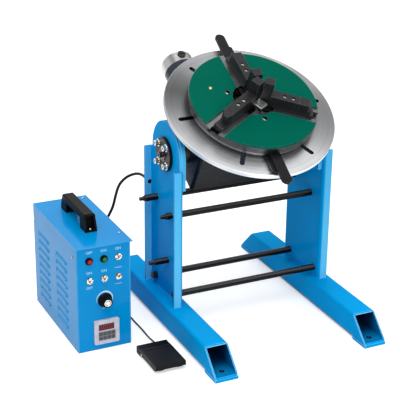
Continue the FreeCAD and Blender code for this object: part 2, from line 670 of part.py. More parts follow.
def motor_body():
    """The motor's tube, with its two brush caps on the end bell as solids of their own."""
    tube = rod(MOTOR_D, V(MOTOR_X, MOTOR_FACE, MOTOR_Z), V(MOTOR_X, MOTOR_TUBE_END, MOTOR_Z))
    caps = []
    y = (MOTOR_TUBE_END + MOTOR_END) / 2
    for sign in (-1, 1):
        seat = V(MOTOR_X, y, MOTOR_Z + sign * (MOTOR_D / 2 - 3))
        outer = V(MOTOR_X, y, MOTOR_Z + sign * (MOTOR_D / 2 + BRUSH_CAP_H))
        cap = rod(BRUSH_CAP_D, seat, outer)
        slot = block(MOTOR_X - 6, MOTOR_X + 6, y - 1.2, y + 1.2, outer.z - 1.5, outer.z + 1.5)
        caps.append(cap.cut(slot))
    return group([tube] + caps)


def motor_end_bell():
    """The cast bell that closes the motor, with a raised seat round each brush cap."""
    start, end = V(MOTOR_X, MOTOR_TUBE_END, MOTOR_Z), V(MOTOR_X, MOTOR_END, MOTOR_Z)
    bell = rod(MOTOR_D, start, end)
    rear = [e for e in bell.Edges if abs(e.CenterOfMass.y - MOTOR_END) < 0.1 and e.BoundBox.YLength < 0.1]
    bell = bell.makeFillet(7.0, rear)
    y = (MOTOR_TUBE_END + MOTOR_END) / 2
    for sign in (-1, 1):
        seat = V(MOTOR_X, y, MOTOR_Z + sign * (MOTOR_D / 2 - 3))
        bell = bell.cut(rod(BRUSH_CAP_D, seat, seat + Z_AXIS * (sign * 10)))
    hub = rod(26, end, V(MOTOR_X, MOTOR_END + 3, MOTOR_Z))
    return fuse(bell, hub)


# ================================================================ turntable
def radial_slot(inner_r, outer_r, width, z0, z1):
    """A round-ended slot along local X."""
    bar = block(inner_r, outer_r - width / 2, -width / 2, width / 2, z0, z1)
    return bar.fuse(disc(width, z0, z1, outer_r - width / 2)).fuse(disc(width, z0, z1, inner_r))


def rotary_table():
    """The slotted steel disc."""
    plate = disc(TABLE_D, -TABLE_T, 0)
    rims = [e for e in plate.Edges if e.BoundBox.ZLength < 0.1]
    plate = plate.makeChamfer(1.2, rims)
    cuts = [disc(SPINDLE_BOSS_D + 2 * FIT_CLEARANCE, -TABLE_T - 1, 1)]
    slot = radial_slot(SLOT_INNER_R, SLOT_OUTER_R, SLOT_WIDTH, -TABLE_T - 1, 1)
    cuts += [turned(slot, index * 360.0 / SLOT_COUNT) for index in range(SLOT_COUNT)]
    for x, y in hub_screw_places():
        cuts.append(disc(M8_D + 2 * FIT_CLEARANCE, -TABLE_T - 1, 1, x, y))
        cuts.append(disc(M8_HEAD_D + 1, -M8_HEAD_H - 0.5, 1, x, y))
    return plate.cut(group(cuts))


def hub_screw_places():
    """Where the table is screwed to the spindle flange."""
    radius = HUB_SCREW_PCD / 2
    return [(radius * math.cos(math.radians(45 + 90 * k)), radius * math.sin(math.radians(45 + 90 * k)))
            for k in range(4)]


def spindle():
    """The turned spindle with its flange and locating boss."""
    flange_top = -TABLE_T
    flange_bottom = flange_top - SPINDLE_FLANGE_T
    body = fuse(disc(SPINDLE_BOSS_D, flange_top, flange_top + SPINDLE_BOSS_H),
                disc(SPINDLE_FLANGE_D, flange_bottom, flange_top),
                disc(SPINDLE_D + 8, UPPER_BEARING_TOP, flange_bottom),
                disc(SPINDLE_D, SPINDLE_END, UPPER_BEARING_TOP))
    for x, y in hub_screw_places():
        body = body.cut(disc(M8_D, flange_bottom - 1, flange_top + 1, x, y))
    return body


def table_bolts():
    """The screws of the spindle flange, and the bolts that hold the chuck from under the slots."""
    solids = []
    for x, y in hub_screw_places():
        solids.append(cap_screw(M8_D, M8_HEAD_D, M8_HEAD_H, SPINDLE_FLANGE_T + TABLE_T - M8_HEAD_H - 1.5,
                                V(x, y, -M8_HEAD_H - 0.5), Z_AXIS * -1))
    for angle in (0.0, 120.0, 240.0):
        x = CHUCK_BOLT_R * math.cos(math.radians(angle))
        y = CHUCK_BOLT_R * math.sin(math.radians(angle))
        solids.append(cap_screw(M8_D, M8_HEAD_D, M8_HEAD_H, TABLE_T + CHUCK_BASE_T - 0.5,
                                V(x, y, -TABLE_T), Z_AXIS))
    return group(solids)


def involute_gear(teeth, z0, z1, bore):
    """A spur gear with true involute flanks, thinned for backlash, with a tooth on local +X."""
    pitch_r = GEAR_MODULE * teeth / 2.0
    base_r = pitch_r * math.cos(math.radians(20))
    tip_r, root_r = pitch_r + GEAR_MODULE, pitch_r - 1.25 * GEAR_MODULE
    inv20 = math.tan(math.radians(20)) - math.radians(20)
    half_thick = (math.pi * GEAR_MODULE / 2 - GEAR_BACKLASH) / 2 / pitch_r + inv20
    start_r = max(base_r, root_r)
    flank = []
    for step in range(4):
        radius = start_r + (tip_r - start_r) * step / 3.0
        pressure = math.acos(min(1.0, base_r / radius))
        flank.append((radius, half_thick - (math.tan(pressure) - pressure)))
    outline = []
    for tooth in range(teeth):
        centre = 2 * math.pi * tooth / teeth
        outline.append((root_r, centre - flank[0][1] * 1.02))
        outline += [(radius, centre - spread) for radius, spread in flank]
        outline += [(radius, centre + spread) for radius, spread in reversed(flank)]
        outline.append((root_r, centre + flank[0][1] * 1.02))
    points = [V(radius * math.cos(a), radius * math.sin(a), z0) for radius, a in outline]
    return prism(points, Z_AXIS * (z1 - z0)).cut(disc(bore, z0, z1))


def spindle_gear():
    """The large gear on the spindle, turned so that a gap faces the pinion."""
    gear = involute_gear(SPINDLE_GEAR_TEETH, GEAR_TOP - GEAR_FACE, GEAR_TOP, SPINDLE_D + 2 * FIT_CLEARANCE)
    hub = ring(44, SPINDLE_D + 2 * FIT_CLEARANCE, GEAR_TOP, GEAR_TOP + 8)
    return turned(gear.fuse(hub), 180.0 - 180.0 / SPINDLE_GEAR_TEETH)


def spindle_nut():
    """The slotted ring nut under the gear."""
    nut = ring(46, SPINDLE_D + 2 * FIT_CLEARANCE, GEAR_TOP - GEAR_FACE - 9, GEAR_TOP - GEAR_FACE)
    notch = block(20, 24, -3, 3, GEAR_TOP - GEAR_FACE - 10, GEAR_TOP - GEAR_FACE + 1)
    return nut.cut(group([turned(notch, 90 * k) for k in range(4)]))


def drive_pinion():
    """The pinion, made in one with the gearhead's output shaft."""
    gear = involute_gear(PINION_TEETH, GEAR_TOP - GEAR_FACE - 1, GEAR_TOP + 1, PINION_SHAFT_D)
    shaft = disc(PINION_SHAFT_D, GEAR_TOP - GEAR_FACE - 4, GEARHEAD_BOTTOM + 29)
    return moved(fuse(gear, shaft), x=PINION_X)


# ================================================================ chuck
def jaw_frame(shape, index):
    """Turn a piece drawn along local +X to its jaw's direction."""
    return turned(shape, JAW_ANGLES[index])


def polar(radius, angle):
    """A point of the chuck's face from its radius and angle."""
    return radius * math.cos(math.radians(angle)), radius * math.sin(math.radians(angle))


def face_holes(z0, z1):
    """The three fixture holes beside the bore."""
    holes = []
    for angle in FACE_HOLE_ANGLES:
        x, y = polar(FACE_HOLE_PCD / 2, angle)
        holes.append(disc(FACE_HOLE_D, z0, z1, x, y))
    return holes


def chuck_base():
    """The back plate, held to the table by bolts through its slots."""
    plate = ring(SCROLL_OUTER_D - 2, CHUCK_BORE, 0, CHUCK_BASE_T)
    for angle in (0.0, 120.0, 240.0):
        x, y = polar(CHUCK_BOLT_R, angle)
        plate = plate.cut(disc(M8_D, -1, CHUCK_BASE_T + 1, x, y))
    return plate


def chuck_body():
    """The slotted body: hub, three pairs of rails and a tee slot for each jaw."""
    body = fuse(ring(CHUCK_D, CHUCK_BORE, BODY_BOTTOM, BODY_TOP),
                ring(HUB_OUTER_D, CHUCK_BORE, CHUCK_BASE_T, BODY_BOTTOM))
    neck = JAW_NECK / 2 + RUN_GAP / 2
    wide = JAW_FOOT / 2 + RUN_GAP / 2
    reach = CHUCK_D
    cuts = []
    for index in range(len(JAW_ANGLES)):
        slots = [block(0, reach, -neck, neck, JAW_FOOT_BOTTOM - 0.2, BODY_TOP + 1),
                 block(0, reach, -wide, wide, JAW_FOOT_BOTTOM - 0.2, JAW_FOOT_TOP + 0.2),
                 block(HUB_OUTER_D / 2, SCROLL_OUTER_D / 2 - 4, -neck, neck, BODY_BOTTOM - 1,
                       JAW_FOOT_BOTTOM)]
        cuts += [jaw_frame(slot, index) for slot in slots]
    cuts += face_holes(BODY_BOTTOM - 4, BODY_TOP + 1)
    x, y = polar(*LOCATING_PIN)
    cuts.append(disc(LOCATING_PIN_D, BODY_TOP - 8, BODY_TOP + 1, x, y))
    return body.cut(group(cuts))


def chuck_face_plate():
    """The painted face, cut back to the rails beside each jaw."""
    plate = disc(FACE_D, BODY_TOP, FACE_TOP)
    top = [e for e in plate.Edges if abs(e.CenterOfMass.z - FACE_TOP) < 0.1 and e.BoundBox.ZLength < 0.1]
    plate = plate.makeChamfer(1.2, top)
    cuts = [disc(CHUCK_BORE, BODY_TOP - 1, FACE_TOP + 1)] + face_holes(BODY_TOP - 1, FACE_TOP + 1)
    half = RECESS_WIDTH / 2
    for index in range(len(JAW_ANGLES)):
        cuts.append(jaw_frame(block(0, CHUCK_D, -half, half, BODY_TOP - 1, FACE_TOP + 1), index))
    x, y = polar(*LOCATING_PIN)
    cuts.append(disc(LOCATING_PIN_D, BODY_TOP - 1, FACE_TOP + 1, x, y))
    return plate.cut(group(cuts))


def locating_pin():
    """The small brass pin in the face."""
    x, y = polar(*LOCATING_PIN)
    pin = disc(LOCATING_PIN_D - 2 * FIT_CLEARANCE, BODY_TOP - 8, FACE_TOP + 1.5, x, y)
    return pin.makeChamfer(0.8, [e for e in pin.Edges if e.CenterOfMass.z > FACE_TOP + 1.4])


def spiral_edge(offset, z, turns):
    """One wall of the scroll groove, at an offset from its middle line."""
    points = []
    steps = int(round(turns * 24))
    for step in range(steps + 1):
        s = turns * step / steps
        radius = SCROLL_START_R + SCROLL_PITCH * s + offset
        angle = -2 * math.pi * s
        points.append(V(radius * math.cos(angle), radius * math.sin(angle), z))
    curve = Part.BSplineCurve()
    curve.interpolate(points)
    return curve.toShape(), points[0], points[-1]


def scroll_ring():
    """The scroll: a ring with a spiral groove in its top face that drives the three jaws."""
    body = ring(SCROLL_OUTER_D, HUB_OUTER_D + 2 * RUN_GAP, SCROLL_BOTTOM, SCROLL_TOP)
    floor = SCROLL_TOP - GROOVE_DEPTH
    inner, inner_start, inner_end = spiral_edge(-GROOVE_WIDTH / 2, floor, SCROLL_TURNS)
    outer, outer_start, outer_end = spiral_edge(GROOVE_WIDTH / 2, floor, SCROLL_TURNS)
    wire = Part.Wire([inner, Part.LineSegment(inner_end, outer_end).toShape(), outer,
                      Part.LineSegment(outer_start, inner_start).toShape()])
    return body.cut(Part.Face(wire).extrude(Z_AXIS * (GROOVE_DEPTH + 1)))


def lever(angle):
    """A flat bar with a rounded end and a shorter strap under it, welded to the scroll's rim."""
    root_r = SCROLL_OUTER_D / 2
    top = SCROLL_TOP - 0.2
    half = LEVER_WIDTH / 2
    tip = LEVER_TIP_R - half
    bar = block(root_r - 6, tip, -half, half, top - LEVER_T, top).fuse(disc(LEVER_WIDTH, top - LEVER_T, top, tip))
    low = SCROLL_BOTTOM + 0.2
    strap_tip = LEVER_STRAP_TIP_R - 6
    strap = block(root_r - 6, strap_tip, -half - LEVER_STRAP_OFFSET, half - LEVER_STRAP_OFFSET,
                  low, top - LEVER_T)
    strap = strap.makeFillet(6, edges_along(strap, Z_AXIS, lambda p: p.x > strap_tip - 1))
    piece = fuse(bar, strap).cut(disc(SCROLL_OUTER_D, 0, SCROLL_TOP + 1))
    return turned(piece, angle)


def tooth_radii(index):
    """Where the two drive teeth of a jaw lie in the scroll at rest."""
    share = (-JAW_ANGLES[index] / 360.0) % 1.0
    first = SCROLL_START_R + SCROLL_PITCH * share
    return first, first + SCROLL_PITCH


def wedge_bar(half, tip, outer, z0, z1):
    """A bar along local X whose inner end is a 120 degree wedge."""
    shoulder = tip + half / math.tan(math.radians(60))
    return prism([V(tip, 0, z0), V(shoulder, -half, z0), V(outer, -half, z0), V(outer, half, z0),
                  V(shoulder, half, z0)], Z_AXIS * (z1 - z0))


def master_jaw(index):
    """The tee-footed base jaw, with its two teeth in the scroll."""
    neck = JAW_NECK / 2 - RUN_GAP / 2
    wide = JAW_FOOT / 2 - RUN_GAP / 2
    jaw = fuse(wedge_bar(wide, MASTER_TIP_R, MASTER_OUTER_R, JAW_FOOT_BOTTOM, JAW_FOOT_TOP),
               wedge_bar(neck, MASTER_TIP_R, MASTER_OUTER_R, JAW_FOOT_TOP, MASTER_TOP))
    tooth_d = GROOVE_WIDTH - 2 * DRIVE_GAP
    for radius in tooth_radii(index):
        jaw = jaw.fuse(disc(tooth_d, SCROLL_TOP - GROOVE_DEPTH + 0.4, JAW_FOOT_BOTTOM, radius))
    return jaw_frame(jaw.removeSplitter(), index)


def top_jaw(index):
    """The reversible top jaw: a long body with a tall gripping nose at its inner end."""
    shift = TOP_JAW_SHIFTS[index]
    half = TOP_JAW_WIDTH / 2
    inner, outer = TOP_JAW_INNER_R + shift, TOP_JAW_OUTER_R + shift
    profile = [V(inner, -half, MASTER_TOP), V(outer, -half, MASTER_TOP),
               V(outer, -half, TOP_JAW_HEIGHT - 9), V(outer - 9, -half, TOP_JAW_HEIGHT),
               V(inner, -half, TOP_JAW_HEIGHT)]
    body = prism(profile, Y_AXIS * TOP_JAW_WIDTH)
    side = half + 1
    nose_half = NOSE_WIDTH / 2
    cuts = []
    for sign in (-1, 1):
        low, high = sorted((sign * nose_half, sign * side))
        cuts.append(block(inner - 1, inner + NOSE_LENGTH, low, high, MASTER_TOP - 1, TOP_JAW_HEIGHT + 1))
        if index != ROUNDED_JAW:
            corner = [V(outer, sign * half, MASTER_TOP - 1), V(outer - 8, sign * half, MASTER_TOP - 1),
                      V(outer, sign * (half - 8), MASTER_TOP - 1)]
            cuts.append(prism(corner, Z_AXIS * 40))
    body = body.cut(group(cuts))
    if index == ROUNDED_JAW:
        body = body.makeFillet(half - 1.5, edges_along(body, Z_AXIS, lambda p: p.x > outer - 1))
    nose = block(inner, inner + NOSE_LENGTH, -nose_half, nose_half, TOP_JAW_HEIGHT - 1, NOSE_HEIGHT)
    jaw = fuse(body, nose)
    bevel = [e for e in edges_along(jaw, X_AXIS) if abs(e.CenterOfMass.z - TOP_JAW_HEIGHT) < 0.1
             and e.Length > 30]
    jaw = jaw.makeChamfer(1.0, bevel)
    for radius in TOP_JAW_SCREW_RS:
        jaw = jaw.cut(disc(11, TOP_JAW_HEIGHT - 6, TOP_JAW_HEIGHT + 1, radius + shift))
    if index == SPLIT_JAW:
        width, depth = TOP_JAW_SPLIT
        start = TOP_JAW_SPLIT_R + shift
        jaw = jaw.cut(block(start, start + width, -half - 1, half + 1,
                            TOP_JAW_HEIGHT - depth, TOP_JAW_HEIGHT + 1))
        for sign in (-1, 1):
            low, high = sorted((sign * (half - depth), sign * side))
            jaw = jaw.cut(block(start, start + width, low, high, MASTER_TOP + 4, TOP_JAW_HEIGHT + 1))
    return jaw_frame(jaw, index)


# ================================================================ control box
def boxed(shape):
    """Carry a piece from the box's own corner to its place on the floor."""
    return moved(shape, BOX_X, BOX_Y, 0)


def control_chassis():
    """The folded tray: bottom, front panel and back panel with their cut-outs."""
    t = BOX_SHEET
    x0, x1, top = t, BOX_WIDTH - t, BOX_HEIGHT - t
    tray = fuse(block(x0, x1, 0, BOX_DEPTH, 0, t), block(x0, x1, 0, t, 0, top),
                block(x0, x1, BOX_DEPTH - t, BOX_DEPTH, 0, top))
    cuts = []
    for x in PANEL_COLUMNS[:2]:
        cuts.append(panel_bore(BUTTON_BODY_D, x, BUTTON_ROW_Z))
    for x, z in toggle_places():
        cuts.append(panel_bore(TOGGLE_BUSH_D, x, z))
    cuts.append(panel_bore(7, PANEL_COLUMNS[1], KNOB_Z))
    half = TIMER_SIZE / 2 - 6
    x, z = TIMER_CENTRE
    cuts.append(block(x - half, x + half, -1, t + 1, z - half, z + half))
    for x, z, d in ((SOCKET_X, SOCKET_Z, 20), (PEDAL_SOCKET_X, PEDAL_SOCKET_Z, 12)):
        cuts.append(rod(d, V(x, BOX_DEPTH - t - 1, z), V(x, BOX_DEPTH + 1, z)))
    cuts.append(block(20, 47, BOX_DEPTH - t - 1, BOX_DEPTH + 1, 24, 44))
    return boxed(tray.cut(group(cuts)))


def panel_bore(diameter, x, z):
    """A round hole in the front panel."""
    return rod(diameter, V(x, -1, z), V(x, BOX_SHEET + 1, z))


def toggle_places():
    """The four toggle switches on the panel, as x and z."""
    return [(PANEL_COLUMNS[2], BUTTON_ROW_Z)] + [(x, TOGGLE_ROW_Z) for x in PANEL_COLUMNS]


def louvre(y0, z):
    """A pressed louvre on the left side: a hood that stands proud and opens downwards."""
    y1 = y0 + LOUVRE_LENGTH
    top, low = z, z - LOUVRE_HEIGHT
    end = LOUVRE_HEIGHT
    a, b, c, d = V(0, y0, top), V(0, y1, top), V(0, y1 - 0.1, low), V(0, y0 + 0.1, low)
    e, f = V(-LOUVRE_PROUD, y0 + end, low), V(-LOUVRE_PROUD, y1 - end, low)
    faces = [polygon_face(points) for points in
             ((a, b, f, e), (a, e, d), (b, c, f), (d, e, f, c), (a, d, c, b))]
    return Part.makeSolid(Part.makeShell(faces))


def control_cover():
    """The folded cover: two louvred sides and a lid with a drip edge on the right."""
    t = BOX_SHEET
    lid = block(0, BOX_WIDTH + BOX_DRIP_EDGE, -1.5, BOX_DEPTH + 1.5, BOX_HEIGHT - t, BOX_HEIGHT)
    sides = [block(0, t, 0, BOX_DEPTH, 0, BOX_HEIGHT - t),
             block(BOX_WIDTH - t, BOX_WIDTH, 0, BOX_DEPTH, 0, BOX_HEIGHT - t)]
    shell = fuse(lid, *sides)
    hoods, slits = [], []
    for y0 in LOUVRE_COLUMNS:
        for row in range(LOUVRE_ROWS):
            z = LOUVRE_TOP_Z - row * LOUVRE_PITCH
            hood = louvre(y0, z)
            hoods += [hood, hood.mirror(V(BOX_WIDTH / 2, 0, 0), X_AXIS)]
            slit = block(-LOUVRE_PROUD, t + 1, y0 + LOUVRE_HEIGHT, y0 + LOUVRE_LENGTH - LOUVRE_HEIGHT,
                         z - LOUVRE_HEIGHT - 1, z - LOUVRE_HEIGHT + 3)
            slits += [slit, slit.mirror(V(BOX_WIDTH / 2, 0, 0), X_AXIS)]
    shell = shell.fuse(hoods).cut(group(slits))
    return boxed(shell)


def control_handle():
    """The moulded bridge handle, with a screw pocket in each sloping foot."""
    y0, y1 = HANDLE_Y, HANDLE_Y + HANDLE_LENGTH
    base, top = BOX_HEIGHT, BOX_HEIGHT + HANDLE_HEIGHT
    x0 = HANDLE_X
    lean = 12.0
    foot_len = 34.0
    outline = [V(x0, y0, base), V(x0, y0 + foot_len, base), V(x0, y0 + foot_len + 3, top - HANDLE_GRIP_T),
               V(x0, y1 - foot_len - 3, top - HANDLE_GRIP_T), V(x0, y1 - foot_len, base), V(x0, y1, base),
               V(x0, y1, base + 10), V(x0, y1 - lean, top), V(x0, y0 + lean, top), V(x0, y0, base + 10)]
    grip = prism(outline, X_AXIS * HANDLE_WIDTH)
    grip = grip.makeFillet(4.0, [e for e in grip.Edges if e.CenterOfMass.z > top - 1
                                 and abs(e.Vertexes[0].Point.z - e.Vertexes[-1].Point.z) < 0.1
                                 and e.Length > HANDLE_LENGTH / 2])
    pockets = []
    for y in (y0 - 1, y1 + 1 - HANDLE_POCKET):
        pockets.append(block(x0 + HANDLE_RIM, x0 + HANDLE_WIDTH - HANDLE_RIM, y, y + HANDLE_POCKET,
                             base + HANDLE_RIM, top - HANDLE_RIM))
    return boxed(grip.cut(group(pockets)))


def panel_bushes():
    """The fixed metal parts on the panel: toggle switches with their nuts, and the knob's bush."""
    solids = []
    for x, z in toggle_places():
        nut = prism([V(x + TOGGLE_NUT_D / 2 * math.cos(math.radians(a)), -TOGGLE_NUT_T,
                       z + TOGGLE_NUT_D / 2 * math.sin(math.radians(a))) for a in range(0, 360, 60)],
                    Y_AXIS * TOGGLE_NUT_T)
        bush = rod(TOGGLE_BUSH_D - 2 * FIT_CLEARANCE, V(x, -6, z), V(x, BOX_SHEET + 1, z))
        case = block(x - 6.5, x + 6.5, BOX_SHEET, BOX_SHEET + 14, z - 6.5, z + 6.5)
        solids.append(fuse(nut, bush, case).cut(rod(TOGGLE_BORE_D, V(x, -7, z), V(x, 2, z))))
    x = PANEL_COLUMNS[1]
    pot = fuse(rod(7 - 2 * FIT_CLEARANCE, V(x, -3, KNOB_Z), V(x, BOX_SHEET, KNOB_Z)),
               rod(22, V(x, BOX_SHEET, KNOB_Z), V(x, BOX_SHEET + 12, KNOB_Z)))
    solids.append(pot.cut(rod(6 + 2 * FIT_CLEARANCE, V(x, -4, KNOB_Z), V(x, BOX_SHEET + 8, KNOB_Z))))
    return boxed(group(solids))


def button_collars():
    """The two black button bodies: bezel, guard ring round the button, and barrel behind the panel."""
    solids = []
    for x in PANEL_COLUMNS[:2]:
        bezel = rod(BUTTON_BEZEL_D, V(x, -BUTTON_BEZEL_T, BUTTON_ROW_Z), V(x, 0, BUTTON_ROW_Z))
        guard = rod(BUTTON_BODY_D, V(x, -BUTTON_GUARD, BUTTON_ROW_Z), V(x, 0, BUTTON_ROW_Z))
        barrel = rod(BUTTON_BODY_D - 2 * FIT_CLEARANCE, V(x, 0, BUTTON_ROW_Z), V(x, 22, BUTTON_ROW_Z))
        bore = rod(BUTTON_D + 2 * RUN_GAP, V(x, -BUTTON_GUARD - 1, BUTTON_ROW_Z), V(x, 12, BUTTON_ROW_Z))
        solids.append(fuse(bezel, guard, barrel).cut(bore))
    return boxed(group(solids))


def push_button(x):
    """A sprung push button in its collar."""
    cap = rod(BUTTON_D, V(x, -BUTTON_HEIGHT, BUTTON_ROW_Z), V(x, 6, BUTTON_ROW_Z))
    return boxed(cap.makeFillet(1.5, [e for e in cap.Edges if e.CenterOfMass.y < -BUTTON_HEIGHT + 0.1]))


def toggle_lever(place):
    """The bat lever of a toggle switch, pivoting in its bush and thrown upwards."""
    x, z = place
    bat = Part.makeCone(1.3, 2.2, TOGGLE_LENGTH - 2.2, V(x, -1, z), Y_AXIS * -1)
    tip = Part.makeSphere(2.2, V(x, 1.2 - TOGGLE_LENGTH, z))
    lever_solid = fuse(bat, tip)
    lever_solid.rotate(V(x, -TOGGLE_PIVOT, z), X_AXIS, TOGGLE_REST)
    return boxed(lever_solid)


def speed_knob():
    """The fluted knob with its skirt, silver cap and shaft."""
    x = PANEL_COLUMNS[1]
    gap = 3 + RUN_GAP
    skirt = Part.makeCone(KNOB_D / 2, KNOB_D / 2 - 3, 5, V(x, -gap, KNOB_Z), Y_AXIS * -1)
    grip = Part.makeCone(KNOB_D / 2 - 4, KNOB_D / 2 - 5.5, KNOB_HEIGHT - 5,
                         V(x, -gap - 5, KNOB_Z), Y_AXIS * -1)
    shaft = rod(6, V(x, -gap - 1, KNOB_Z), V(x, BOX_SHEET + 6, KNOB_Z))
    knob = fuse(skirt, grip, shaft)
    flutes = []
    for index in range(12):
        angle = math.radians(index * 30)
        flute_r = KNOB_D / 2 - 3.4
        centre = V(x + flute_r * math.cos(angle), -gap - 5.4, KNOB_Z + flute_r * math.sin(angle))
        flutes.append(rod(3, centre, centre - Y_AXIS * KNOB_HEIGHT))
    knob = knob.cut(group(flutes))
    face = -gap - KNOB_HEIGHT
    return boxed(fuse(knob, rod(KNOB_CAP_D, V(x, face, KNOB_Z), V(x, face - 1, KNOB_Z))))


def timer_case():
    """The counter module: a square case through the panel with a display and a key field."""
    x, z = TIMER_CENTRE
    half = TIMER_SIZE / 2
    flange = block(x - half, x + half, -TIMER_PROUD, 0, z - half, z + half)
    flange = flange.makeFillet(4.0, edges_along(flange, Y_AXIS))
    body = block(x - half + 7, x + half - 7, 0, 60, z - half + 7, z + half - 7)
    window = block(x - 20, x + 20, -TIMER_PROUD - 1, -TIMER_PROUD + 1, z + 4, z + 20)
    case = fuse(flange, body).cut(window)
    keys = []
    for column in range(4):
        for row in range(2):
            kx, kz = x - 19 + column * 10, z - 19 + row * 11
            keys.append(block(kx, kx + 8, -TIMER_PROUD - 0.8, -TIMER_PROUD, kz, kz + 8))
    return boxed(case.fuse(keys))


def power_supply():
    """Inside the box: a ring transformer and the speed board on its standoffs."""
    middle = BOX_WIDTH / 2
    ring_coil = Part.makeTorus(COIL_R, COIL_WIRE_R,
                               V(middle, BOX_DEPTH - COIL_FROM_BACK, BOX_SHEET + COIL_WIRE_R), Z_AXIS)
    x0, x1 = BOARD_MARGIN, BOX_WIDTH - BOARD_MARGIN
    y0, y1 = BOARD_FRONT, BOARD_FRONT + BOARD_DEPTH
    top = BOARD_Z + BOARD_T
    board = block(x0, x1, y0, y1, BOARD_Z, top)
    stands = [disc(5, BOX_SHEET, BOARD_Z, x, y) for x in (x0 + 4, x1 - 4) for y in (y0 + 4, y1 - 4)]
    sink = block(x0 + 6, x0 + 36, y0 + 10, y1 - 10, top, top + SINK_HEIGHT)
    fins = group([block(x0 + 9 + 6 * k, x0 + 11.5 + 6 * k, y0 + 9, y1 - 9, top + 5.4, top + SINK_HEIGHT + 1)
                  for k in range(5)])
    caps = [disc(16, top, top + CAPACITOR_HEIGHT, middle + 16, y0 + 20 + 22 * k) for k in range(3)]
    return boxed(group([ring_coil, fuse(board, sink.cut(fins), *(stands + caps))]))


def rear_sockets():
    """The mains inlet and the two lead sockets on the back panel."""
    back = BOX_DEPTH
    inlet = fuse(block(16, 51, back, back + 3, 20, 48), block(20.1, 46.9, back - 22, back, 24.1, 43.9))
    inlet = inlet.cut(block(22, 45, back - 16, back + 4, 26, 42))
    pins = [block(x, x + 2, back - 16, back - 1, 32, 36) for x in (26, 32.5, 39)]
    solids = [inlet.fuse(pins)]
    for x, z, d in ((SOCKET_X, SOCKET_Z, 20), (PEDAL_SOCKET_X, PEDAL_SOCKET_Z, 12)):
        solids.append(fuse(rod(d - 2 * FIT_CLEARANCE, V(x, back - 16, z), V(x, back, z)),
                           rod(d + 6, V(x, back, z), V(x, back + 3, z)),
                           rod(d - 2, V(x, back + 3, z), V(x, back + 14, z))))
    return boxed(group(solids))


# ================================================================ foot switch
def pedal_hinge_line():
    """The hinge pin's y and z."""
    return PEDAL_BACK - PEDAL_HINGE[0], PEDAL_HINGE[1]


def pedal_base():
    """The base: a floor plate on low feet, with a closed housing at the back and two hinge ears."""
    x0, x1 = PEDAL_X, PEDAL_X + PEDAL_WIDTH
    y_pin, z_pin = pedal_hinge_line()
    plate = block(x0 + 3, x1 - 3, PEDAL_Y + 12, PEDAL_BACK, 1.5, 5)
    house = block(x0, x1, PEDAL_BACK - 22, PEDAL_BACK, 1.5, PEDAL_HEIGHT - 1)
    house = house.makeFillet(2.0, edges_along(house, X_AXIS, lambda p: p.z > 10))
    feet = [block(x, x + 16, y, y + 10, 0, 1.5) for x in (x0 + 6, x1 - 22)
            for y in (PEDAL_Y + 14, PEDAL_BACK - 14)]
    ears = []
    for x in (x0 + PEDAL_WALL + 1, x1 - PEDAL_WALL - 5):
        ears.append(block(x, x + 4, y_pin - 5, PEDAL_BACK - 10, 4, z_pin + 5))
    outlet = PEDAL_CABLE_ROUTE[0]
    boot = rod(2 * PEDAL_CABLE_D, V(outlet.x, PEDAL_BACK - 1, outlet.z), outlet)
    pin = rod(PEDAL_PIN_D, V(x0 - 1, y_pin, z_pin), V(x1 + 1, y_pin, z_pin))
    return fuse(plate, house, boot, *(feet + ears)).cut(pin)


def pedal_tread():
    """The tread: a shallow lid that turns on the pin, with a sunk panel and a curled front edge."""
    x0, x1 = PEDAL_X, PEDAL_X + PEDAL_WIDTH
    y_pin, z_pin = pedal_hinge_line()
    y0, y1 = PEDAL_Y, PEDAL_BACK - 22 - 0.8
    lid = block(x0, x1, y0, y1, 8, PEDAL_HEIGHT)
    lid = lid.makeFillet(3.0, edges_along(lid, X_AXIS, lambda p: p.y < y0 + 1))
    w = PEDAL_WALL
    lid = lid.cut(block(x0 + w, x1 - w, y0 + w + 2, y1 + 1, 7, PEDAL_HEIGHT - w))
    lid = lid.cut(block(x0 + 6, x1 - 6, y0 + 7, y1 - 8, PEDAL_HEIGHT - 0.9, PEDAL_HEIGHT + 1))
    for x in (x0, x1 - w):
        ear = rod(11, V(x, y_pin, z_pin), V(x + w, y_pin, z_pin))
        lid = lid.fuse(ear)
    pin = rod(PEDAL_PIN_D + 2 * FIT_CLEARANCE, V(x0 - 1, y_pin, z_pin), V(x1 + 1, y_pin, z_pin))
    lugs = [block(x, x + 12, y0 + 2, y0 + 8, 6.5, 9) for x in (x0 + 8, x1 - 20)]
    return fuse(lid, *lugs).cut(pin)


def pedal_pin():
    """The hinge pin, with a domed end on the left."""
    y_pin, z_pin = pedal_hinge_line()
    x0, x1 = PEDAL_X, PEDAL_X + PEDAL_WIDTH
    return rod(PEDAL_PIN_D, V(x0 - 1.2, y_pin, z_pin), V(x1 + 0.5, y_pin, z_pin))


def pedal_switch():
    """The small snap switch under the tread."""
    x = PEDAL_X + PEDAL_WIDTH / 2
    y = PEDAL_BACK - 62
    return fuse(block(x - 10, x + 10, y, y + 28, 5, 11), block(x - 2, x + 2, y + 4, y + 8, 11, 15.4))


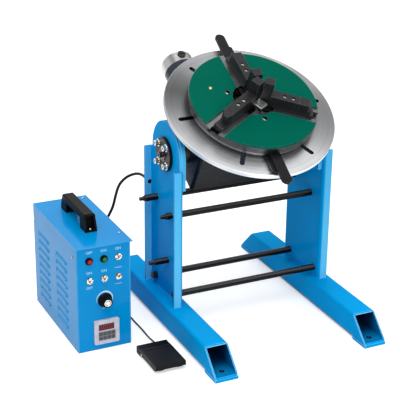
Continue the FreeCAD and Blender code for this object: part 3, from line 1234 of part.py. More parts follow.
# ================================================================ cables
def cable_tube(points, diameter, name):
    """A tube along straight runs joined by tangent arcs, each as large as its two runs allow."""
    edges = []
    start = points[0]
    bends = []
    for before, corner, after in zip(points, points[1:], points[2:]):
        run_in, run_out = (corner - before), (after - corner)
        a, b = run_in.normalize(), run_out.normalize()
        reach = 0.45 * min((corner - before).Length, (after - corner).Length)
        turn = math.acos(max(-1.0, min(1.0, a.dot(b))))
        radius = reach / math.tan(turn / 2)
        bends.append(radius)
        first, last = corner - a * reach, corner + b * reach
        inward = (b - a).normalize()
        centre = corner + inward * (radius / math.cos(turn / 2))
        middle = centre - inward * radius
        edges.append(Part.LineSegment(start, first).toShape())
        edges.append(Part.Arc(first, middle, last).toShape())
        start = last
    edges.append(Part.LineSegment(start, points[-1]).toShape())
    wire = Part.Wire(edges)
    heading = (points[1] - points[0]).normalize()
    section = Part.Wire(Part.makeCircle(diameter / 2, points[0], heading))
    tube = wire.makePipeShell([section], True, True)
    volume = wire.Length * math.pi * diameter ** 2 / 4
    print(name, "length %.1f" % wire.Length, "volume ratio %.4f" % (tube.Volume / volume),
          "radii", " ".join("%.0f" % r for r in bends))
    return tube


MAIN_CABLE_ROUTE = [
    V(GLAND_X, UPRIGHT_Y + UPRIGHT_WIDTH / 2 + 13, GLAND_Z), V(-191.5, 150, 319), V(-197, 175, 316),
    V(-214, 193, 305), V(-234, 197, 287), V(-245, 194, 261), V(-252, 193, 233), V(-262, 199, 207),
    V(-270, 212, 183), V(-276, 232, 164), V(-277, 258, 149), V(-285, 284, 137), V(-306, 302, 128),
    V(-334, 303, 121), V(-356, 286, 118.2), V(-363, 260, 118), V(BOX_X + SOCKET_X, BOX_BACK + 14, SOCKET_Z)]

PEDAL_CABLE_ROUTE = [
    V(-268, PEDAL_BACK + CABLE_BOOT, 6), V(-268, -88, 4.5), V(-269, -60, 2.4), V(-267.2, -20, 2.2),
    V(-268.8, 32, 2.2), V(-267.2, 86, 2.2), V(-268.7, 138, 2.2), V(-267.5, 182, 2.2),
    V(-268.5, 218, 2.2), V(-272, 250, 2.4), V(-285, 278, 4), V(-308, 292, 10), V(-328, 285, 22),
    V(-337, 267, 32), V(BOX_X + PEDAL_SOCKET_X, BOX_BACK + 14, PEDAL_SOCKET_Z)]


# ================================================================ assembly
def nodes():
    """Every node of the positioner, by name."""
    parts = {
        "left_foot": foot(-1),
        "right_foot": foot(1),
        "left_upright": upright(-1),
        "right_upright": upright(1),
        "tie_rods": tie_rods(),
        "tie_rod_bolts": tie_rod_bolts(),
        "hanging_peg": hanging_peg(),
        "cable_gland": cable_gland(),
    }
    for name, piece in (("pivot_plates", pivot_plate()), ("bearing_flanges", bearing_flange()),
                        ("pivot_bushes", pivot_bush())):
        parts[name] = group([piece, mirrored_x(piece)])
    bolts = flange_bolts()
    parts["flange_bolts"] = group(bolts + [mirrored_x(bolt) for bolt in bolts])

    head = {
        "tilt_housing": tilt_housing(),
        "housing_cover": housing_cover(),
        "trunnions": group([trunnion(-1), trunnion(1)]),
        "trunnion_screws": group(trunnion_screw(-1) + trunnion_screw(1)),
        "bearing_housing": bearing_housing(),
        "spindle_bearings": spindle_bearings(),
        "gearhead": gearhead(),
        "motor_body": motor_body(),
        "motor_end_bell": motor_end_bell(),
        "rotary_table": rotary_table(),
        "spindle": spindle(),
        "table_bolts": table_bolts(),
        "spindle_gear": spindle_gear(),
        "spindle_nut": spindle_nut(),
        "drive_pinion": drive_pinion(),
        "chuck_base": chuck_base(),
        "chuck_body": chuck_body(),
        "chuck_face_plate": chuck_face_plate(),
        "locating_pin": locating_pin(),
        "scroll_ring": scroll_ring(),
        "chuck_levers": group([lever(LEVER_ANGLE), lever(LEVER_ANGLE + 180)]),
    }
    for index in range(len(JAW_ANGLES)):
        head["master_jaw_%d" % (index + 1)] = master_jaw(index)
        head["top_jaw_%d" % (index + 1)] = top_jaw(index)
    for name, shape in head.items():
        parts[name] = on_head(shape)

    parts["control_chassis"] = control_chassis()
    parts["control_cover"] = control_cover()
    parts["control_handle"] = control_handle()
    parts["panel_bushes"] = panel_bushes()
    parts["button_collars"] = button_collars()
    parts["red_button"] = push_button(PANEL_COLUMNS[0])
    parts["green_button"] = push_button(PANEL_COLUMNS[1])
    for name, place in zip(("power_toggle", "mode_toggle", "reverse_toggle", "output_toggle"),
                           toggle_places()):
        parts[name] = toggle_lever(place)
    parts["speed_knob"] = speed_knob()
    parts["timer_case"] = timer_case()
    parts["power_supply"] = power_supply()
    parts["rear_sockets"] = rear_sockets()
    parts["pedal_base"] = pedal_base()
    parts["pedal_tread"] = pedal_tread()
    parts["pedal_pin"] = pedal_pin()
    parts["pedal_switch"] = pedal_switch()
    parts["main_cable"] = cable_tube(MAIN_CABLE_ROUTE, MAIN_CABLE_D, "main_cable")
    parts["pedal_cable"] = cable_tube(PEDAL_CABLE_ROUTE, PEDAL_CABLE_D, "pedal_cable")
    return parts


def main():
    """Build every node and write it as its own STEP file."""
    os.makedirs("parts", exist_ok=True)
    for name, shape in nodes().items():
        if not shape.isValid():
            print("not valid:", name)
        shape.exportStep("parts/%s.step" % name)
        print("%-18s solids %2d  volume %.0f" % (name, len(shape.Solids), shape.Volume))


if __name__ == "__main__":
    main()
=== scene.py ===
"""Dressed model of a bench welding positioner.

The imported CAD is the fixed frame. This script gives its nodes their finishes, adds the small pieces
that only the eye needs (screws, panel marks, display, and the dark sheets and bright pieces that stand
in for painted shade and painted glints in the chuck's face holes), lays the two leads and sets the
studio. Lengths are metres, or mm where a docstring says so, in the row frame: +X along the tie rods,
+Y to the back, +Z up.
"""

import logging
import math
from dataclasses import dataclass, field
from enum import Enum
from typing import Any, Callable, Iterable, Mapping, Optional, Sequence, Union

import bmesh
import bpy
from mathutils import Matrix, Vector


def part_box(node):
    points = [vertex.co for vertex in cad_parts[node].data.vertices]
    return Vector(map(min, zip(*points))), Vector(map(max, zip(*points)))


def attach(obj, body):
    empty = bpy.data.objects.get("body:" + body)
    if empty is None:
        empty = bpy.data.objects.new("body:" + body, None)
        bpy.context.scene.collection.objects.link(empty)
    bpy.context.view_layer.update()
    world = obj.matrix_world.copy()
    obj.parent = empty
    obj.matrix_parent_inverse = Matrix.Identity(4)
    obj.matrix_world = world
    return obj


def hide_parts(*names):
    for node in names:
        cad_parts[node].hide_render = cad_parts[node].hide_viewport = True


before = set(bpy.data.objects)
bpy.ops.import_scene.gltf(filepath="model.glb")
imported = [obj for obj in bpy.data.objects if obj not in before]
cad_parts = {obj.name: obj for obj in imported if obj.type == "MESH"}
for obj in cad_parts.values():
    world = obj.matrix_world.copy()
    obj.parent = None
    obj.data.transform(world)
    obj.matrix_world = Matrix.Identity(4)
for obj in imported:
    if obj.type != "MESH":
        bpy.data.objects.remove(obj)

log = logging.getLogger("positioner")

Color = tuple[float, float, float]
Point = tuple[float, float, float]
MM = 0.001
WHITE = (1.0, 1.0, 1.0, 1.0)

TILT = math.radians(28.5)
HEAD_AXIS: Point = (0.0, -math.sin(TILT), math.cos(TILT))
PIVOT: Point = (0.0, 0.0255, 0.413)
TABLE_RISE = 0.110
TABLE_CENTRE: Point = tuple(p + TABLE_RISE * a for p, a in zip(PIVOT, HEAD_AXIS))


# ------------------------------------------------------------------ graphs
class Graph:
    """A node tree, with the one method that adds any node to it."""

    def __init__(self, tree: bpy.types.NodeTree) -> None:
        """Keep the tree.

        Args:
            tree: shader or geometry tree that receives the nodes.
        """
        self.tree = tree

    def node(self, kind: str, settings: Optional[Mapping[str, Any]] = None,
             sockets: Optional[Mapping[Union[str, int], Any]] = None) -> bpy.types.Node:
        """Add a node, set its options first, then fill or link its sockets.

        Args:
            kind: the node's type name.
            settings: options such as a Math node's operation.
            sockets: values, sockets or levels by input name or index.

        Returns:
            The new node.
        """
        made = self.tree.nodes.new(kind)
        for key, value in (settings or {}).items():
            if key == "stops":
                self._fill_ramp(made, value)
            else:
                setattr(made, key, value)
        for key, value in (sockets or {}).items():
            self.feed(made.inputs[key], value)
        return made

    def feed(self, target: bpy.types.NodeSocket, value: Any) -> None:
        """Link or set one input socket.

        Args:
            target: the input.
            value: a socket, a level or a plain value.
        """
        if isinstance(value, Level):
            value = value.socket
        if isinstance(value, bpy.types.NodeSocket):
            self.tree.links.new(value, target)
        else:
            target.default_value = value

    def split(self, vector: bpy.types.NodeSocket) -> "tuple[Level, ...]":
        """The X, Y and Z levels of a vector."""
        return tuple(Level(self, part)
                     for part in self.node("ShaderNodeSeparateXYZ", None, {0: vector}).outputs)

    def join(self, x: Any = 0.0, y: Any = 0.0, z: Any = 0.0) -> bpy.types.NodeSocket:
        """A vector of three levels or numbers."""
        return self.node("ShaderNodeCombineXYZ", None, {0: x, 1: y, 2: z}).outputs[0]

    @staticmethod
    def _fill_ramp(ramp: bpy.types.Node, stops: Sequence[tuple[float, Color]]) -> None:
        """Write the stops of a colour ramp.

        Args:
            ramp: the ramp's node.
            stops: place and colour of each stop, from 0 on.
        """
        elements = ramp.color_ramp.elements
        while len(elements) < len(stops):
            elements.new(0.5)
        for element, (position, color) in zip(elements, stops):
            element.position = position
            element.color = (*color, 1.0)


class Level:
    """A number socket that Python's operators extend with Math nodes."""

    def __init__(self, graph: Graph, socket: bpy.types.NodeSocket) -> None:
        """Wrap a socket of a graph."""
        self.graph = graph
        self.socket = socket

    def _math(self, operation: str, *terms: Any) -> "Level":
        """Add one Math node on one or two terms and wrap its result."""
        made = self.graph.node("ShaderNodeMath", {"operation": operation}, dict(enumerate(terms)))
        return Level(self.graph, made.outputs[0])

    def __add__(self, other: Any) -> "Level":
        """Sum."""
        return self._math("ADD", self, other)

    __radd__ = __add__

    def __sub__(self, other: Any) -> "Level":
        """Difference."""
        return self._math("SUBTRACT", self, other)

    def __rsub__(self, other: Any) -> "Level":
        """Reflected difference."""
        return self._math("SUBTRACT", other, self)

    def __mul__(self, other: Any) -> "Level":
        """Product."""
        return self._math("MULTIPLY", self, other)

    __rmul__ = __mul__

    def __truediv__(self, other: Any) -> "Level":
        """Quotient."""
        return self._math("DIVIDE", self, other)

    def __pow__(self, other: Any) -> "Level":
        """Power."""
        return self._math("POWER", self, other)

    def above(self, edge: float) -> "Level":
        """One where the level is greater than an edge, else zero."""
        return self._math("GREATER_THAN", self, edge)

    def absolute(self) -> "Level":
        """Size without sign."""
        return self._math("ABSOLUTE", self)

    def angle_to(self, other: Any) -> "Level":
        """Angle whose sine is the level and whose cosine is the other term."""
        return self._math("ARCTAN2", self, other)

    def cosine(self) -> "Level":
        """Cosine of the level in radians."""
        return self._math("COSINE", self)

    def ramp(self, low: float, high: float, start: float = 0.0, end: float = 1.0) -> "Level":
        """Smoothly map low..high onto start..end.

        Args:
            low: where the result begins to change.
            high: where it stops changing.
            start: result at and below low.
            end: result at and above high.

        Returns:
            The mapped level.
        """
        made = self.graph.node("ShaderNodeMapRange", {"interpolation_type": "SMOOTHSTEP"},
                               {"Value": self, "From Min": low, "From Max": high,
                                "To Min": start, "To Max": end})
        return Level(self.graph, made.outputs[0])


class Surface(Graph):
    """A material's graph around one Principled shader, in object coordinates."""

    def __init__(self, name: str) -> None:
        """Make the material and its shader.

        Args:
            name: the finish's name.
        """
        self.material = bpy.data.materials.new(name)
        self.material.use_nodes = True
        super().__init__(self.material.node_tree)
        self.tree.nodes.clear()
        self.shader = self.node("ShaderNodeBsdfPrincipled")
        self.node("ShaderNodeOutputMaterial", None, {"Surface": self.shader.outputs[0]})
        self.place = self.node("ShaderNodeTexCoord").outputs["Object"]
        self.normal = self.node("ShaderNodeNewGeometry").outputs["Normal"]

    def set(self, **values: Any) -> None:
        """Fill the shader's sockets; underscores in a name stand for spaces."""
        for name, value in values.items():
            self.feed(self.shader.inputs[name.replace("_", " ")], value)

    def stretched(self, scale: Point, turn: Point = (0, 0, 0),
                  shift: Point = (0, 0, 0)) -> bpy.types.NodeSocket:
        """Object coordinates moved, turned and stretched for a directional pattern.

        Args:
            scale: factor along each axis, after the turn.
            turn: rotation in radians.
            shift: translation before the turn, in metres.

        Returns:
            The mapped vector socket.
        """
        moved = self.node("ShaderNodeVectorMath", {"operation": "ADD"}, {0: self.place, 1: shift})
        turned = self.node("ShaderNodeMapping", {"vector_type": "POINT"},
                           {"Vector": moved.outputs[0], "Rotation": turn})
        scaled = self.node("ShaderNodeVectorMath", {"operation": "MULTIPLY"},
                           {0: turned.outputs[0], 1: scale})
        return scaled.outputs[0]

    def of_head(self, scale: Point = (1.0, 1.0, 1.0)) -> bpy.types.NodeSocket:
        """Coordinates of the tilted head, from the middle of the table's face."""
        return self.stretched(scale, (-TILT, 0.0, 0.0), tuple(-c for c in TABLE_CENTRE))

    def noise(self, scale: float, detail: float = 3.0, vector: Any = None) -> Level:
        """Smooth noise between 0 and 1.

        Args:
            scale: cells in a metre.
            detail: octaves.
            vector: coordinates, if not the object's.

        Returns:
            The noise as a level.
        """
        made = self.node("ShaderNodeTexNoise", None,
                         {"Vector": vector or self.place, "Scale": scale, "Detail": detail})
        return Level(self, made.outputs[0])

    def dot(self, first: Any, second: Any) -> Level:
        """Cosine of the angle between two directions."""
        made = self.node("ShaderNodeVectorMath", {"operation": "DOT_PRODUCT"}, {0: first, 1: second})
        return Level(self, made.outputs["Value"])

    def facing(self, axis: Point) -> Level:
        """How far the surface faces a direction, from -1 to 1."""
        return self.dot(self.normal, axis)

    def edge(self, radius: float = 0.8 * MM) -> Level:
        """A mask that rises to 1 on sharp edges, for worn edges and for painted highlights along edges.

        Args:
            radius: how wide the pale strip is.

        Returns:
            The mask.
        """
        soft = self.node("ShaderNodeBevel", {"samples": 8}, {"Radius": radius})
        return (1.0 - self.dot(soft.outputs[0], self.normal)).ramp(0.02, 0.22)

    def tint(self, mask: Any, low: Any, high: Any) -> bpy.types.NodeSocket:
        """Blend two colours by a mask.

        Args:
            mask: level, 0 gives low.
            low: colour or colour socket.
            high: colour or colour socket.

        Returns:
            The colour socket.
        """
        low, high = [(*c, 1.0) if isinstance(c, tuple) and len(c) == 3 else c for c in (low, high)]
        made = self.node("ShaderNodeMix", {"data_type": "RGBA"}, {0: mask, 6: low, 7: high})
        return made.outputs[2]

    def mottled(self, level: Level, color: Color, dark: float, pale: float) -> bpy.types.NodeSocket:
        """A colour that a pattern darkens and lightens by two factors."""
        return self.tint(level, scaled(color, dark), scaled(color, pale))

    def cover(self, mask: Level, color: Color) -> None:
        """Lay a colour over the base colour where a mask is 1."""
        under = self.shader.inputs["Base Color"].links[0].from_socket
        self.set(Base_Color=self.tint(mask, under, color))

    def bump(self, height: Level, distance: float, strength: float = 1.0) -> None:
        """Feed a height, in metres at level 1, to the shader's normal."""
        made = self.node("ShaderNodeBump", None,
                         {"Height": height, "Distance": distance, "Strength": strength})
        self.feed(self.shader.inputs["Normal"], made.outputs[0])


def scaled(color: Color, factor: float) -> Color:
    """A lighter or darker colour, kept below 1."""
    return tuple(min(0.98, c * factor) for c in color)


# ------------------------------------------------------------------ finishes
@dataclass(frozen=True)
class Finish:
    """A named surface finish. Its material is made once."""

    name: str
    color: Color

    def dress(self, s: Surface) -> None:
        """Fill the surface; each kind of finish has its own way."""
        raise NotImplementedError

    def material(self) -> bpy.types.Material:
        """Make the finish's material, if it isn't there yet.

        Returns:
            The material.
        """
        label = "finish_" + self.name
        if label not in bpy.data.materials:
            self.dress(Surface(label))
        return bpy.data.materials[label]


@dataclass(frozen=True)
class PowderCoat(Finish):
    """Baked powder paint: fine orange peel, faint patches, and a painted highlight along edges."""

    roughness: float = 0.22
    gloss: float = 0.32
    edge_color: Color = (0.30, 0.62, 0.92)
    edge_share: float = 0.75
    edge_width: float = 0.9 * MM
    peel: float = 0.04 * MM

    def dress(self, s: Surface) -> None:
        """Paint with orange peel, and a painted highlight where it wraps an edge.

        Args:
            s: the surface.
        """
        body = s.mottled(s.noise(6.0).ramp(0.3, 0.7), self.color, 0.95, 1.05)
        # Painted highlight: the edge colour laid along edges.
        s.set(Base_Color=s.tint(s.edge(self.edge_width) * self.edge_share, body, self.edge_color))
        s.set(Roughness=s.noise(45.0, 4.0).ramp(0.3, 0.75, self.roughness - 0.04, self.roughness + 0.06))
        s.set(Specular_IOR_Level=self.gloss)
        s.bump(s.noise(260.0, 2.0), self.peel, 0.3)


@dataclass(frozen=True)
class UprightPaint(PowderCoat):
    """The frame's paint, with the floor's light on what faces forward."""

    lit: Color = (0.11, 0.52, 0.84)
    top: float = 0.50
    bottom: float = 0.07

    def dress(self, s: Surface) -> None:
        """Painted light on forward faces, strongest near the floor.

        Args:
            s: the surface.
        """
        super().dress(s)
        forward = s.facing((0.0, -1.0, 0.0)).ramp(0.85, 0.98)
        _, _, height = s.split(s.place)
        # Painted light from the floor on faces that look forward, fading upwards.
        s.cover(forward * height.ramp(self.bottom, self.top, 1.0, 0.6), self.lit)


@dataclass(frozen=True)
class RodPaint(PowderCoat):
    """Black paint on round bars, with a painted highlight along the line that faces the light."""

    line: Color = (0.075, 0.072, 0.075)
    light_from: Point = (0.0, -0.64, 0.77)

    def dress(self, s: Surface) -> None:
        """A soft painted highlight along the top of the bar."""
        super().dress(s)
        # Painted highlight where the bar faces the light.
        s.cover(s.facing(self.light_from).ramp(0.86, 1.0, 0.0, 0.9), self.line)


@dataclass(frozen=True)
class FootPaint(PowderCoat):
    """The frame's paint, with painted shade down the feet's tubes and in their holes, and a painted
    highlight on their cut ends.
    """

    middle: float = 190.0 * MM
    height: float = 35.0 * MM
    bore_half: float = 24.6 * MM
    mouth: float = 300.0 * MM
    hole_at: float = 285.0 * MM
    hole_radius: float = 7.2 * MM
    # Colour of the painted shade inside the tubes and holes.
    inner: Color = (0.0, 0.028, 0.11)
    # Colour of the painted highlight on the cut ends.
    cut: Color = (0.55, 0.86, 1.0)

    def dress(self, s: Surface) -> None:
        """Paint shade inside by depth and in the holes, and a highlight on the slanted ends.

        Args:
            s: the surface.
        """
        super().dress(s)
        side, length, up = s.split(s.place)
        across = (side.absolute() - self.middle).absolute()
        along = length.absolute()
        rise = (up - self.height).absolute()
        tube = (1.0 - across.above(self.bore_half)) * (1.0 - rise.above(self.bore_half))
        depth = along.ramp(self.mouth - 60.0 * MM, self.mouth, 0.97, 0.5)
        off = along - self.hole_at
        hole = (1.0 - ((across * across + off * off) ** 0.5).above(self.hole_radius)) * 0.95
        # Painted shade: darker deeper into the tubes, and dark in the anchor holes.
        s.cover(tube * depth * (1.0 - hole) + hole, self.inner)
        slant = s.facing((0.0, -1.0, 0.0)).absolute()
        # Painted highlight on the slanted cut ends.
        s.cover(slant.ramp(0.70, 0.80) * slant.ramp(0.90, 0.96, 1.0, 0.0) * (1.0 - hole), self.cut)


@dataclass(frozen=True)
class MotorPaint(PowderCoat):
    """Motor enamel, with bare black caps beyond the end of the tube."""

    cap_start: float = 216.5 * MM
    cap_color: Color = (0.009, 0.009, 0.009)

    def dress(self, s: Surface) -> None:
        """Enamel the tube and leave the brush caps black.

        Args:
            s: the surface.
        """
        super().dress(s)
        _, along, _ = s.split(s.of_head())
        s.cover(along.above(self.cap_start), self.cap_color)


@dataclass(frozen=True)
class Steel(Finish):
    """Machined steel with a grain along one direction, and edges brightened where worn and by a painted
    highlight.
    """

    roughness: float = 0.34
    grain: Point = (900.0, 60.0, 60.0)
    edge_color: Color = (0.75, 0.75, 0.76)
    wear_and_highlight: float = 0.6
    metallic: float = 1.0

    def dress(self, s: Surface) -> None:
        """Grain in colour and roughness, a little of it in the normal.

        Args:
            s: the surface.
        """
        grain = s.noise(1.0, 3.0, s.stretched(self.grain))
        stain = s.noise(28.0, 4.0).ramp(0.25, 0.8, 0.86, 1.08)
        body = s.mottled((grain * stain).ramp(0.25, 0.75), self.color, 0.8, 1.18)
        # Edges brightened: real worn edges and a painted highlight.
        s.set(Base_Color=s.tint(s.edge(0.9 * MM) * self.wear_and_highlight, body, self.edge_color))
        s.set(Roughness=grain.ramp(0.2, 0.8, self.roughness - 0.06, self.roughness + 0.09))
        s.set(Metallic=self.metallic)
        s.bump(grain, 0.03 * MM, 0.5)


@dataclass(frozen=True)
class PlatedNut(Steel):
    """Bright plated work with hard, broken reflections."""

    shade: Color = (0.03, 0.02, 0.012)

    def dress(self, s: Surface) -> None:
        """Break the bright plate with painted dark reflections."""
        super().dress(s)
        # Painted reflections: dark patches on the bright plate.
        s.cover(s.noise(330.0, 1.0).ramp(0.50, 0.58, 0.0, 0.9), self.shade)


@dataclass(frozen=True)
class TippedSteel(Steel):
    """A switch lever: painted shade at its root, bright at its tip."""

    lever: str = "power_toggle"
    tip_length: float = 6.5 * MM
    root_shade: Color = (0.012, 0.011, 0.010)

    def dress(self, s: Surface) -> None:
        """Paint shade on the root, so only what stands furthest from the panel stays bright.

        Args:
            s: the surface.
        """
        super().dress(s)
        _, out, _ = s.split(s.place)
        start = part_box(self.lever)[0].y + self.tip_length
        # Painted shade on the lever's root.
        s.cover(out.ramp(start - 1.0 * MM, start + 1.0 * MM), self.root_shade)


@dataclass(frozen=True)
class TurnedBell(Finish):
    """A bare turned cylinder: painted reflection bands round its axis and fine tool marks across them."""

    axis_at: tuple[float, float] = (-74.0 * MM, -70.0 * MM)
    reflection_tones: tuple[tuple[float, float], ...] = (
        (0.0, 0.78), (0.25, 0.35), (0.5, 0.45), (0.62, 0.30), (0.70, 0.50), (0.75, 0.56),
        (0.81, 0.44), (0.85, 0.22), (0.90, 0.46), (0.95, 0.66), (1.0, 0.78))

    def dress(self, s: Surface) -> None:
        """Painted reflection bands from the angle about the motor's axis, marks from the place along it.

        Args:
            s: the surface.
        """
        side, along, up = s.split(s.of_head())
        turn = (up - self.axis_at[1]).angle_to(side - self.axis_at[0]) / math.tau + 0.5
        stops = [(place, tuple(c * tone for c in self.color)) for place, tone in self.reflection_tones]
        # Painted reflections: bright and dark bands by the angle about the axis.
        bands = s.node("ShaderNodeValToRGB", {"stops": stops}, {0: turn})
        marks = s.noise(1900.0, 3.0, s.join(along, turn * 0.02))
        shade = s.mottled(marks.ramp(0.3, 0.7), (1.0, 1.0, 1.0), 0.8, 1.0)
        toned = s.node("ShaderNodeMix", {"data_type": "RGBA", "blend_type": "MULTIPLY"},
                       {0: 1.0, 6: bands.outputs[0], 7: shade}).outputs[2]
        # Painted highlight along edges.
        s.set(Base_Color=s.tint(s.edge() * 0.5, toned, (0.9, 0.9, 0.9)), Metallic=1.0)
        s.set(Roughness=marks.ramp(0.3, 0.7, 0.26, 0.38))
        s.bump(marks, 0.03 * MM, 0.5)


@dataclass(frozen=True)
class TurnedSteel(Finish):
    """Lathe-faced steel: fine rings about the table's axis, and bands of sheen across them."""

    rim_radius: float = 200.0 * MM
    sheen_angle: float = math.radians(-108.0)
    bands: tuple[float, ...] = (
        1.23, 1.31, 1.08, 1.0, 0.90, 0.95, 1.0, 1.10, 1.38, 1.22, 1.22, 1.26, 1.45,
        1.75, 1.2, 1.40, 0.97, 0.97, 1.0, 1.15, 1.25, 0.87, 0.62, 0.87, 1.23)
    rim_highlight: Color = (0.82, 0.83, 0.85)
    slot_shade: Color = (0.01, 0.01, 0.011)
    edge_color: Color = (0.9, 0.9, 0.91)

    def dress(self, s: Surface) -> None:
        """Rings from the distance to the axis, painted sheen from the angle about it, a painted highlight
        on the rim and edges, and painted shade in the slots.

        Args:
            s: the surface.
        """
        local = s.of_head((1.0, 1.0, 0.0))
        length = s.node("ShaderNodeVectorMath", {"operation": "LENGTH"}, {0: local})
        radius = Level(s, length.outputs["Value"])
        fine, broad = (s.noise(scale, 2.0, s.join(radius)) for scale in (2600.0, 160.0))
        stain = s.noise(14.0, 4.0).ramp(0.3, 0.75, 0.93, 1.04)
        shade = (fine * 0.45 + broad * 0.55) * stain
        side, back, _ = s.split(local)
        angle = back.angle_to(side)
        off = angle - self.sheen_angle
        pair = ((off * 2.0).cosine() * 0.5 + 0.5) ** 1.3
        single = (off.cosine() * 0.5 + 0.5) ** 3.0
        last = len(self.bands) - 1
        stops = [(index / last, (band / 2.0,) * 3) for index, band in enumerate(self.bands)]
        ramp = s.node("ShaderNodeValToRGB", {"stops": stops}, {0: angle / math.tau + 0.5})
        band = Level(s, ramp.outputs[0])
        # Painted sheen: bright and dark bands by the angle about the axis.
        sheen = (pair * 0.30 + single * 0.44 + 0.15) * band * shade.ramp(0.3, 0.7, 1.8, 2.2)
        s.set(Base_Color=s.tint(sheen, (0.0, 0.0, 0.0), self.color))
        # Painted highlight on the rim's chamfer.
        rim = radius.ramp(self.rim_radius - 2.6 * MM, self.rim_radius - 1.2 * MM)
        s.cover(rim * 0.2, self.rim_highlight)
        # Painted shade on the slots' walls, the faces that lie across the axis.
        inside = (1.0 - s.facing(HEAD_AXIS).absolute().ramp(0.3, 0.7)) * (1.0 - rim)
        s.cover(inside * 0.96, self.slot_shade)
        # Painted highlight along edges.
        s.cover(s.edge() * 0.45 * (1.0 - inside), self.edge_color)
        s.set(Roughness=broad.ramp(0.3, 0.7, 0.3, 0.4), Metallic=1.0)
        s.bump(fine * 0.6 + broad * 0.4, 0.1 * MM, 0.6)


@dataclass(frozen=True)
class ChuckSteel(Finish):
    """Oiled dark steel whose upward faces are ground pale."""

    ground: Color = (0.20, 0.205, 0.215)
    edge_color: Color = (0.62, 0.62, 0.64)

    def dress(self, s: Surface) -> None:
        """Ground faces by direction, dark turned sides, and a painted highlight on edges.

        Args:
            s: the surface.
        """
        up = s.facing(HEAD_AXIS).ramp(0.85, 0.97)
        fine, stain = s.noise(520.0), s.noise(24.0, 4.0)
        side = s.mottled(stain.ramp(0.3, 0.75), self.color, 0.7, 1.3)
        top = s.mottled((fine * 0.5 + stain * 0.5).ramp(0.3, 0.7), self.ground, 0.8, 1.2)
        # Pale edges: a painted highlight.
        s.set(Base_Color=s.tint(s.edge() * 0.55, s.tint(up, side, top), self.edge_color))
        s.set(Roughness=stain.ramp(0.3, 0.7, 0.3, 0.42), Metallic=1.0)
        s.bump(fine, 0.04 * MM, 0.5)


@dataclass(frozen=True)
class Casting(Finish):
    """Cast light alloy, machined round its rim."""

    roughness: float = 0.42
    grain: float = 240.0
    depth: float = 0.25 * MM
    metallic: float = 0.9

    def dress(self, s: Surface) -> None:
        """Speckled tone with a pebbled normal.

        Args:
            s: the surface.
        """
        cell = s.noise(self.grain, 4.0)
        body = s.mottled(cell.ramp(0.3, 0.7), self.color, 0.82, 1.12)
        # Lighter edges: machined rims and a painted highlight.
        s.set(Base_Color=s.tint(s.edge() * 0.5, body, scaled(self.color, 1.35)))
        s.set(Roughness=cell.ramp(0.3, 0.7, self.roughness - 0.06, self.roughness + 0.1))
        s.set(Metallic=self.metallic)
        s.bump(cell, self.depth, 0.6)


@dataclass(frozen=True)
class Plastic(Finish):
    """Moulded plastic or rubber with a fine spark-eroded grain."""

    roughness: float = 0.45
    grain: float = 900.0
    depth: float = 0.05 * MM
    edge_gain: float = 2.2
    gloss: float = 0.22

    def dress(self, s: Surface) -> None:
        """Even colour, textured normal, a painted highlight on edges.

        Args:
            s: the surface.
        """
        rough = s.noise(60.0)
        body = s.mottled(rough.ramp(0.3, 0.7), self.color, 0.92, 1.1)
        # Painted highlight along edges.
        s.set(Base_Color=s.tint(s.edge() * 0.5, body, scaled(self.color, self.edge_gain)))
        s.set(Specular_IOR_Level=self.gloss)
        s.set(Roughness=rough.ramp(0.2, 0.8, self.roughness - 0.05, self.roughness + 0.08))
        s.bump(s.noise(self.grain, 2.0), self.depth, 0.6)


@dataclass(frozen=True)
class Lamp(Finish):
    """A lit segment of a display."""

    strength: float = 0.16

    def dress(self, s: Surface) -> None:
        """Emissive red with a faint grid."""
        s.set(Base_Color=(*self.color, 1.0), Roughness=0.4, Emission_Strength=self.strength)
        s.set(Emission_Color=s.mottled(s.noise(1500.0, 1.0).ramp(0.3, 0.7), self.color, 0.7, 1.0))


# The edge settings below lay painted highlights along edges; on steel they also stand for worn edges.
BOX_BLUE = PowderCoat("box_blue", (0.0, 0.246, 0.59), roughness=0.11, gloss=0.085, peel=0.00001)
FRAME_BLUE = UprightPaint("frame_blue", (0.0, 0.300, 0.70), gloss=0.008, edge_color=(0.42, 0.76, 0.97),
                          edge_share=0.85, edge_width=1.8 * MM)
FOOT_BLUE = FootPaint("foot_blue", (0.0, 0.320, 0.715), gloss=0.006, edge_color=(0.45, 0.80, 0.98),
                      edge_share=0.95, edge_width=2.4 * MM)
BLACK_PAINT = PowderCoat("black_paint", (0.005, 0.005, 0.0065), roughness=0.3, gloss=0.17,
                         edge_color=(0.07, 0.07, 0.08), edge_share=0.8)
ROD_BLACK = RodPaint("rod_black", (0.003, 0.0027, 0.0027), roughness=0.24, gloss=0.15, peel=0.00001,
                     edge_color=(0.09, 0.085, 0.08))
GREEN_FACE = PowderCoat("green_face", (0.0, 0.100, 0.066), roughness=0.34, gloss=0.012,
                        edge_color=(0.25, 0.45, 0.38), edge_share=0.8, edge_width=0.7 * MM, peel=0.00002)
MOTOR_PAINT = MotorPaint("motor_paint", (0.006, 0.011, 0.026), roughness=0.25, gloss=0.35,
                         edge_color=(0.05, 0.055, 0.07))
TABLE_STEEL = TurnedSteel("table_steel", (0.97, 0.98, 1.0))
CHUCK_STEEL = ChuckSteel("chuck_steel", (0.07, 0.072, 0.078))
DARK_STEEL = Steel("dark_steel", (0.16, 0.165, 0.175), roughness=0.32)
JAW_STEEL = Steel("jaw_steel", (0.05, 0.05, 0.053), roughness=0.36, edge_color=(0.5, 0.5, 0.52))
GROUND_STEEL = Steel("ground_steel", (0.60, 0.60, 0.60), roughness=0.3, grain=(60.0, 500.0, 60.0),
                     edge_color=(0.92, 0.92, 0.9), wear_and_highlight=0.9)
JAW_BLACK = Steel("jaw_black", (0.022, 0.022, 0.024), roughness=0.38, edge_color=(0.26, 0.26, 0.27),
                  wear_and_highlight=0.8, metallic=0.6)
